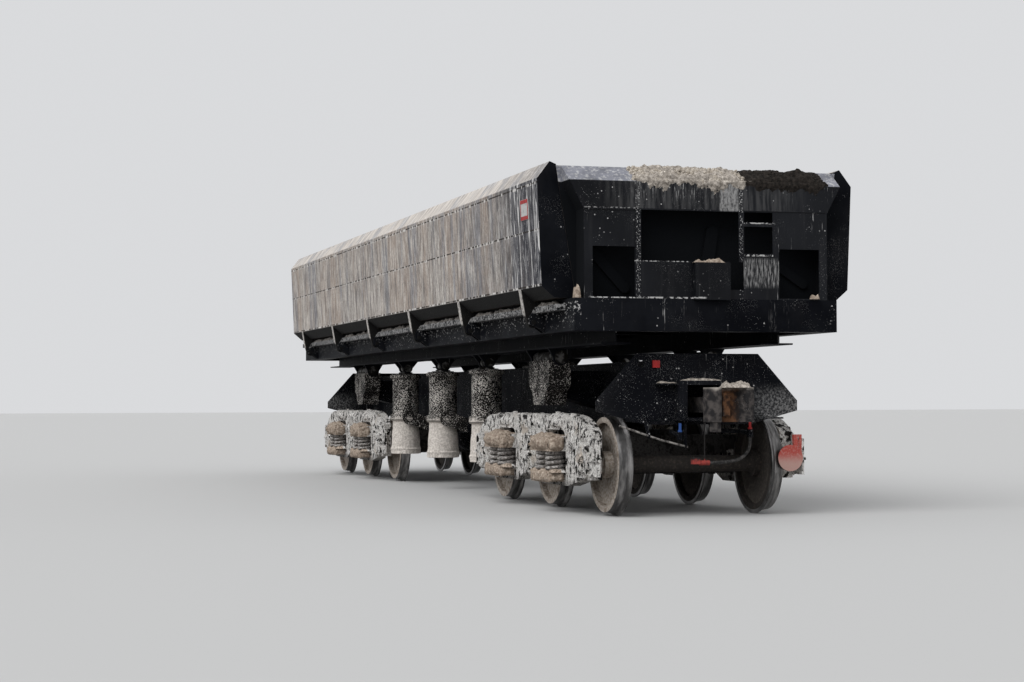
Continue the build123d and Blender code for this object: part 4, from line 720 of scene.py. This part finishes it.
def heap_level(shape, u, v, x, y, rim, seed):
    """Height of a heap at a place, as a share. u and v run from -1 to 1, x and y are in metres."""
    rough = 0.55 + 0.45 * lumpy(x + seed, y, seed, 7) + 0.22 * lumpy(x, y + seed, seed, 32)
    if shape == "round":
        wave = 0.28 * lumpy(x + seed, y, seed, 14)
        inside = 1 - (abs(u) ** 2.6 + abs(v) ** 2.6) ** 0.385 + wave
        return max(-0.15, min(1, 2.4 * inside) * max(0.2, rough))
    if shape == "fringe":
        wave = 0.9 * lumpy(x + seed, seed, 0, 9) + 0.5 * lumpy(x + seed, seed, v, 30)
        return max(-0.15, min(1, 1.3 * (0.05 + v + wave)) * rim * max(0.3, rough))
    return max(0, rim) * max(0.12, rough)


def heap_mesh(origin, directions, half_along, half_across, height, seed, step=0.02, shape="flat"):
    """Grid of a low heap. Its rim lies on its place and its top is lumpy. A round heap sinks into
    the place outside a wavy oval; a fringe sinks below a wavy line across its lower half."""
    along, across, up = directions
    columns = max(6, int(2 * half_along / step))
    rows = max(5, int(2 * half_across / step))
    vertices = []
    for i in range(columns + 1):
        for j in range(rows + 1):
            u = 2 * i / columns - 1
            v = 2 * j / rows - 1
            x, y = u * half_along, v * half_across
            rim = min(1, 3 * (1 - max(abs(u), abs(v))))
            level = height * heap_level(shape, u, v, x, y, rim, seed) - heap_sink
            ragged = 1 - 0.12 * abs(lumpy(u * 3 + seed, v * 3, seed, 2)) if rim < 0.3 else 1
            vertices.append(origin + along * (x * ragged) + across * (y * ragged) + up * level)
    faces = []
    for i in range(columns):
        for j in range(rows):
            a = i * (rows + 1) + j
            faces.append((a, a + rows + 1, a + rows + 2, a + 1))
    return vertices, faces


def level_heap(x, y, z, half_x, half_y, height, seed, step=0.02):
    origin = Vector((x, y, z))
    return heap_mesh(origin, (axis_x, axis_y, axis_z), half_x, half_y, height, seed, step)


def side_heap(x, y, z, half_x, half_z, height, side_sign, seed):
    """Mud that clings to an upright face of a bogie's side."""
    directions = (axis_x, axis_z, axis_y * side_sign)
    return heap_mesh(Vector((x, y, z)), directions, half_x, half_z, height, seed, shape="round")


def add_heaps(name, places, material, body, step=0.02):
    """Level heaps. Columns: x, y, z of the place, half length, half width, height."""
    parts = [level_heap(*place, 3.7 * n + place[0], step) for n, place in enumerate(places)]
    return add_piece(name, join_meshes(parts), material, body)


def stone(centre, size, seed):
    """A rough stone of 12 corners."""
    golden = (1 + math.sqrt(5)) / 2
    corners = [
        Vector(c).normalized()
        for a in (-1, 1) for b in (-golden, golden)
        for c in ((0, a, b), (a, b, 0), (b, 0, a))
    ]
    vertices = [
        centre + c * size * (0.75 + 0.5 * abs(lumpy(c.x + seed, c.y, c.z + seed, 1.3)))
        for c in corners
    ]
    longest_side = 1.2
    faces = []
    for i in range(12):
        for j in range(i + 1, 12):
            for k in range(j + 1, 12):
                a, b, c = corners[i], corners[j], corners[k]
                if max((a - b).length, (b - c).length, (a - c).length) < longest_side:
                    outward = (b - a).cross(c - a).dot(a) > 0
                    faces.append((i, j, k) if outward else (i, k, j))
    return vertices, faces


def ring_faces(base, around):
    """Faces between a ring of corners that starts at base and the next ring."""
    for k in range(around):
        a, b = base + k, base + (k + 1) % around
        yield (a, b, b + around, a + around)


def tube(points, radius, around=8):
    """Round tube along points that turn gently."""
    vertices, faces = [], []
    for n, point in enumerate(points):
        ahead = points[min(n + 1, len(points) - 1)] - points[max(n - 1, 0)]
        across = ahead.cross(axis_z).normalized() if abs(ahead.normalized().z) < 0.99 else axis_x
        level = ahead.cross(across).normalized()
        for k in range(around):
            turn = 2 * math.pi * k / around
            vertices.append(point + (across * math.cos(turn) + level * math.sin(turn)) * radius)
    for n in range(len(points) - 1):
        faces += ring_faces(n * around, around)
    faces.append(tuple(range(around))[::-1])
    faces.append(tuple(range((len(points) - 1) * around, len(points) * around)))
    return vertices, faces


def cylinder(centre, along, radius, length, around):
    along = along.normalized()
    side = along.cross(axis_z if abs(along.z) < 0.9 else axis_x).normalized()
    other = along.cross(side)
    vertices = []
    for end in (0, 1):
        for k in range(around):
            turn = 2 * math.pi * k / around
            spoke = side * math.cos(turn) + other * math.sin(turn)
            vertices.append(centre + along * (length * end) + spoke * radius)
    faces = list(ring_faces(0, around))
    faces.append(tuple(range(around))[::-1])
    faces.append(tuple(range(around, 2 * around)))
    return vertices, faces


def block(centre, size):
    half = Vector(size) / 2
    vertices = [
        centre + Vector((x * half.x, y * half.y, z * half.z))
        for x in (-1, 1) for y in (-1, 1) for z in (-1, 1)
    ]
    faces = [(0, 1, 3, 2), (4, 6, 7, 5), (0, 4, 5, 1), (2, 3, 7, 6), (0, 2, 6, 4), (1, 5, 7, 3)]
    return vertices, faces


# Places of the frame's parts that the loose pieces sit on. Heights are counted from the rail's top
# in the model's source, and from the flanges' low point here.
rail = 0.028
bogie_x = 4.675
axle_pitch = 1.8
bolster_x = axle_pitch / 2
axle_half_length = 1.08
spring_y = 1.12
spring_offset = 0.165
spring_coil_radius = 0.084
spring_wire = 0.019
spring_turns = 4.2
spring_steps = 84
spring_flat_share = 0.1
side_frame_middle_y, side_frame_outer_y, ledge_edge_y = 1.003, 1.07, 1.235
bolster_top = 0.745 + rail
bolster_lip = 0.075
seat_top = 0.385 + rail
seat_lip = 0.045
seat_middle_y = 1.15
side_frame_top = 0.955 + rail
bolt_radius, bolt_height = 0.018, 0.022
rib_pitch = 2 * half_rib_pitch
wall_face_x = 7.12
wall_top_z = 3.2 + rail
end_beam_top = 2.08 + rail
window_sill_top = 2.43 + rail
floor_top = 2.1 + rail
body_ledge_y, body_ledge_top = 1.405, 2.03 + rail
crown_middle = Vector((7.0, 0, 3.3085))
crown_slope = Vector((0.832, 0, -0.555))
crown_normal = Vector((0.555, 0, 0.832))
coupler_pivot_x = 6.42
coupler_rest_swing = math.radians(7)
barrel_stations = (-2.13, 0, 2.13)
barrel_radius = 0.1805
plate_x, plate_y, plate_z = 6.4, 1.6325, 2.97 + rail
board_lean = math.radians(2.54)


def spring_points(middle_x, middle_y, bottom, top):
    points = []
    for n in range(spring_steps + 1):
        share = n / spring_steps
        turn = 2 * math.pi * spring_turns * share
        climb = min(1, max(0, (share - spring_flat_share) / (1 - 2 * spring_flat_share)))
        points.append(Vector((
            middle_x + spring_coil_radius * math.cos(turn),
            middle_y + spring_coil_radius * math.sin(turn),
            bottom + (top - bottom) * climb,
        )))
    return points


def add_springs(end_name, end_sign):
    low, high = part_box(f"springs_{end_name}")
    parts = []
    for _, side_sign in sides:
        for bolster_sign in (-1, 1):
            for offset_sign in (-1, 1):
                x = end_sign * bogie_x + bolster_sign * bolster_x + offset_sign * spring_offset
                levels = (low.z + spring_wire, high.z - spring_wire)
                parts.append(tube(spring_points(x, side_sign * spring_y, *levels), spring_wire))
    piece = add_piece(
        f"coil_springs_{end_name}", join_meshes(parts), spring_steel, f"bogie_{end_name}"
    )
    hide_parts(f"springs_{end_name}")


def bolster_mud(x, side_sign, seed):
    """Mud on the end of a bolster and on the spring seat below it."""
    seat_y = side_sign * seat_middle_y
    edge_y = side_sign * ledge_edge_y
    parts = [
        level_heap(x, seat_y, bolster_top, 0.31, 0.083, 0.06, seed),
        side_heap(x, edge_y, bolster_top - bolster_lip, 0.325, 0.07, 0.075, side_sign, seed + 9),
        level_heap(x, side_sign * 1.0, bolster_top, 0.3, 0.065, 0.02, seed + 4),
        side_heap(x, edge_y, seat_top - seat_lip, 0.34, 0.06, 0.06, side_sign, seed + 2),
    ]
    for face_sign in (-1, 1):
        for level, half_z in ((bolster_top - bolster_lip, 0.075), (seat_top - seat_lip, 0.05)):
            origin = Vector((x + face_sign * 0.33, side_sign * 1.155, level))
            directions = (axis_y, axis_z, axis_x * face_sign)
            parts.append(
                heap_mesh(origin, directions, 0.085, half_z, 0.045, seed + level, 0.014, "round")
            )
    return parts


def frame_mud(middle_x, side_sign):
    """Mud on the top and on the outer face of a side frame."""
    # Columns: place along the bogie, half length
    tops = ((-1.15, 0.28), (-0.45, 0.3), (0.2, 0.3), (0.95, 0.36), (1.4, 0.12))
    # Columns: place along the bogie, height above the rail, half length, half height
    faces = (
        (-1.45, 0.72, 0.16, 0.12), (-0.35, 0.62, 0.1, 0.16), (0.36, 0.55, 0.12, 0.14),
        (1.42, 0.72, 0.17, 0.12), (-1.85, 0.76, 0.12, 0.08), (1.85, 0.76, 0.12, 0.08),
        (0.0, 0.86, 0.4, 0.07), (-0.95, 0.88, 0.3, 0.05), (0.95, 0.88, 0.3, 0.05),
        (-0.9, 0.32, 0.2, 0.05), (0.9, 0.32, 0.2, 0.05),
    )
    middle_y, outer_y = side_sign * side_frame_middle_y, side_sign * side_frame_outer_y
    return [
        level_heap(middle_x + dx, middle_y, side_frame_top, half_x, 0.065, 0.03, dx)
        for dx, half_x in tops
    ] + [
        side_heap(middle_x + dx, outer_y, z + rail, half_x, half_z, 0.035, side_sign, dx + z)
        for dx, z, half_x, half_z in faces
    ]


def box_bolts(middle_x, side_sign):
    """Bolt heads on the covers of the axle boxes."""
    # Columns: axle from the bogie's middle, half distance along, heights above the rail
    bolt_rows = ((-1, 0.165, (0.395, 0.615)), (0, 0.12, (0.39, 0.545)), (1, 0.165, (0.395, 0.615)))
    face = side_sign * (axle_half_length + 0.02)
    outward = axis_y * side_sign
    return [
        cylinder(
            Vector((middle_x + axle * axle_pitch + dx, face, level + rail)),
            outward, bolt_radius, bolt_height, 6,
        )
        for axle, half, levels in bolt_rows for dx in (-half, half) for level in levels
    ]


def add_bogie_mud(end_name, end_sign):
    tan_parts, pale_parts, bolts = [], [], []
    middle_x = end_sign * bogie_x
    for _, side_sign in sides:
        for bolster_sign in (-1, 1):
            x = middle_x + bolster_sign * bolster_x
            seed = 5.1 * bolster_sign + 2.3 * side_sign + end_sign
            tan_parts += bolster_mud(x, side_sign, seed)
            for dx in (-0.32, 0, 0.32):
                pale_parts.append(level_heap(
                    x + dx, side_sign * seat_middle_y, seat_top, 0.075, 0.08, 0.05, seed + dx
                ))
        pale_parts += frame_mud(middle_x, side_sign)
        bolts += box_bolts(middle_x, side_sign)
    body = f"bogie_{end_name}"
    add_piece(f"tan_mud_{end_name}_bogie", join_meshes(tan_parts), tan_heap, body)
    add_piece(f"pale_mud_{end_name}_bogie", join_meshes(pale_parts), bogie_mud, body)
    piece = add_piece(f"box_bolts_{end_name}", join_meshes(bolts), bogie_mud, body, False)


def crown_heap(name, material, y, fringe_y, halves, heights, seeds):
    """Dirt on the crown of the front wall, with a fringe that hangs over its edge. Halves, heights
    and seeds are a pair: of the heap, then of the fringe."""
    directions = (axis_y, crown_slope, crown_normal)
    origin = crown_middle + axis_y * y
    heap = heap_mesh(origin, directions, halves[0], 0.145, heights[0], seeds[0], 0.014)
    origin = Vector((wall_face_x, fringe_y, wall_top_z - 0.04))
    directions = (axis_y, axis_z, axis_x)
    fringe = heap_mesh(origin, directions, halves[1], 0.075, heights[1], seeds[1], 0.012, "fringe")
    add_piece(name, join_meshes([heap, fringe]), material, "tipping_body")


def add_crown_dirt():
    """Pale gravel and dark dirt on the sloping crown of the front wall, and its stones."""
    crown_heap("pale_gravel", pale_heap, -0.17, -0.14, (0.6, 0.6), (0.085, 0.04), (1.3, 4.4))
    crown_heap("dark_dirt", dark_heap, 0.83, 0.83, (0.45, 0.46), (0.075, 0.03), (8.9, 7.7))
    # Columns: middle across the wagon, half width, half height on the slope, share of the lift
    pale_patch, dark_patch = (-0.17, 0.58, 0.14, 1), (0.82, 0.44, 0.13, 0.8)
    stones, dark_stones = [], []
    for n in range(420):
        u, v, share = spread(n)
        size = 0.009 + 0.026 * share ** 2
        lift = 0.045 * (1 - u * u) * (1 - v * v)
        y, half_width, half_slope, lift_share = pale_patch if n % 3 else dark_patch
        place = crown_middle + axis_y * (y + half_width * u) + crown_slope * (half_slope * v)
        heap = stones if n % 3 else dark_stones
        heap.append(stone(place + crown_normal * (lift * lift_share), size, n * 0.37))
    add_piece("gravel_stones", join_meshes(stones), gravel_stone, "tipping_body", False)
    add_piece("dark_stones", join_meshes(dark_stones), dark_heap, "tipping_body", False)


def add_body_dirt():
    ledges = []
    for _, side_sign in sides:
        y = side_sign * body_ledge_y
        for bay in range(5):
            for part in (-1, 0, 1):
                x = rib_pitch * (bay - 2) + part * 0.74
                ledges.append((x, y, body_ledge_top, 0.37, 0.046, 0.055))
        for _, end_sign in ends:
            ledges.append((end_sign * 6.45, y, body_ledge_top, 0.3, 0.046, 0.06))
    add_heaps("ledge_mud", ledges, ledge_heap, "tipping_body", 0.016)
    add_heaps("end_lumps", [
        (7.075, -1.315, end_beam_top, 0.04, 0.035, 0.14),
        (7.125, 1.115, end_beam_top + 0.012, 0.02, 0.05, 0.11),
        (7.155, 0.0, window_sill_top, 0.032, 0.17, 0.05),
        (-7.155, 0.06, window_sill_top, 0.032, 0.13, 0.04),
    ], tan_heap, "tipping_body", 0.01)
    lumps = []
    for n in range(46):
        u, v, share = spread(n)
        size = 0.12 + 0.3 * share
        lumps.append((6.4 * u, 1.02 * v, floor_top, size, size * 0.55, 0.05 + size * 0.18))
    for n in range(12):
        for side_sign in (-1, 1):
            lumps.append((-6.2 + 1.13 * n, side_sign * 1.12, floor_top, 0.5, 0.115, 0.1))
    add_heaps("floor_dirt", lumps, load_dirt, "tipping_body", 0.035)


def add_underframe_dirt():
    add_heaps("shelf_dirt", [
        (6.885, -0.342, 1.27 + rail, 0.042, 0.1, 0.03),
        (-6.885, 0.342, 1.27 + rail, 0.042, 0.1, 0.02),
        (6.92, 0.0, 1.295 + rail, 0.06, 0.22, 0.03),
    ], pale_heap, "underframe", 0.012)
    reach = 0.9
    reflectors = []
    for end_name, end_sign in ends:
        x = end_sign * (coupler_pivot_x + reach * math.cos(coupler_rest_swing))
        y = end_sign * (reach * math.sin(coupler_rest_swing) + 0.09)
        place = (x, y, 1.225 + rail, 0.12, 0.13, 0.09)
        add_heaps(f"coupler_dirt_{end_name}", [place], pale_heap, f"coupler_{end_name}", 0.012)
        centre = Vector((end_sign * 6.852, -end_sign * 0.437, 1.457 + rail))
        reflectors.append(block(centre, (0.024, 0.07, 0.07)))
    piece = add_piece("reflectors", join_meshes(reflectors), red_enamel, "underframe", False)


def foot_mud(station, middle_y, low_z):
    """Thick mud round the foot of a cylinder, thinner to its top."""
    around, levels, reach = 72, 9, 0.33
    vertices, faces = [], []
    for level in range(levels):
        share = level / (levels - 1)
        z = low_z + 0.004 + reach * share
        thick = 0.022 * (1 - share) ** 0.7 + 0.002
        for k in range(around):
            turn = 2 * math.pi * k / around
            outward = Vector((math.cos(turn), math.sin(turn), 0))
            broad = lumpy(outward.x + station, outward.y, z * 4, 2.5) * 0.018
            rough = broad + lumpy(turn * 3, z * 30, station, 1) * 0.005
            radius = barrel_radius + max(0, thick + rough * (1 - share))
            vertices.append(Vector((station, middle_y, z)) + outward * radius)
    for level in range(levels - 1):
        faces += ring_faces(level * around, around)
    return vertices, faces


def add_cylinder_feet():
    for side_name, _ in sides:
        low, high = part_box(f"cylinder_barrels_{side_name}")
        feet = [foot_mud(station, (low.y + high.y) / 2, low.z) for station in barrel_stations]
        body = f"barrels_{side_name}"
        piece = add_piece(f"foot_mud_{side_name}", join_meshes(feet), cylinder_mud, body)


def add_side_plates():
    """Blank plate with red bars near one end of each side board."""
    for side_name, side_sign in sides:
        origin = Vector((-side_sign * plate_x, side_sign * plate_y, plate_z))
        place = Matrix.Translation(origin) @ Matrix.Rotation(-side_sign * board_lean, 4, "X")
        front = side_sign * 0.002
        # Columns: material, centre and size of the blocks
        pieces = {
            "side_plate": (plate_white, [((0, 0, 0), (0.27, 0.005, 0.2))]),
            "side_plate_bars": (red_enamel, [
                ((0, front, 0.08), (0.25, 0.005, 0.036)),
                ((0, front, -0.08), (0.25, 0.005, 0.036)),
                ((-0.118, front, 0), (0.014, 0.005, 0.16)),
                ((0.118, front, 0), (0.014, 0.005, 0.16)),
            ]),
        }
        for name, (material, blocks) in pieces.items():
            vertices, faces = join_meshes([block(Vector(centre), size) for centre, size in blocks])
            shape = ([place @ v for v in vertices], faces)
            add_piece(f"{name}_{side_name}", shape, material, f"side_board_{side_name}", False)


# Brake hose. Columns of its route: y and height above the rail, as in the model's source
hose_route = (
    (0.47, 0.745), (0.47, 0.652), (0.423, 0.572), (0.342, 0.523), (0.243, 0.507), (0.143, 0.499),
    (0.043, 0.499),
)
hose_x = 7.02
hose_diameter = 0.034


def add_hose(end_name, end_sign):
    curve = bpy.data.curves.new(f"hose_tube_{end_name}", "CURVE")
    curve.dimensions = "3D"
    curve.bevel_depth = hose_diameter / 2
    curve.bevel_resolution = 5
    curve.resolution_u = 10
    spline = curve.splines.new("NURBS")
    spline.points.add(len(hose_route) - 1)
    for point, (y, z) in zip(spline.points, hose_route):
        point.co = (end_sign * hose_x, y, z + rail, 1)
    spline.order_u = 3
    spline.use_endpoint_u = True
    curve.materials.append(hose_rubber)
    piece = link_piece(f"hose_tube_{end_name}", curve, "underframe")
    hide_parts(f"brake_hose_{end_name}")


scene.view_settings.view_transform = "Standard"
add_camera()
add_floor()
add_lights()
paint_nodes()
for end_name, end_sign in ends:
    add_springs(end_name, end_sign)
    add_bogie_mud(end_name, end_sign)
    add_hose(end_name, end_sign)
add_crown_dirt()
add_body_dirt()
add_underframe_dirt()
add_cylinder_feet()
add_side_plates()
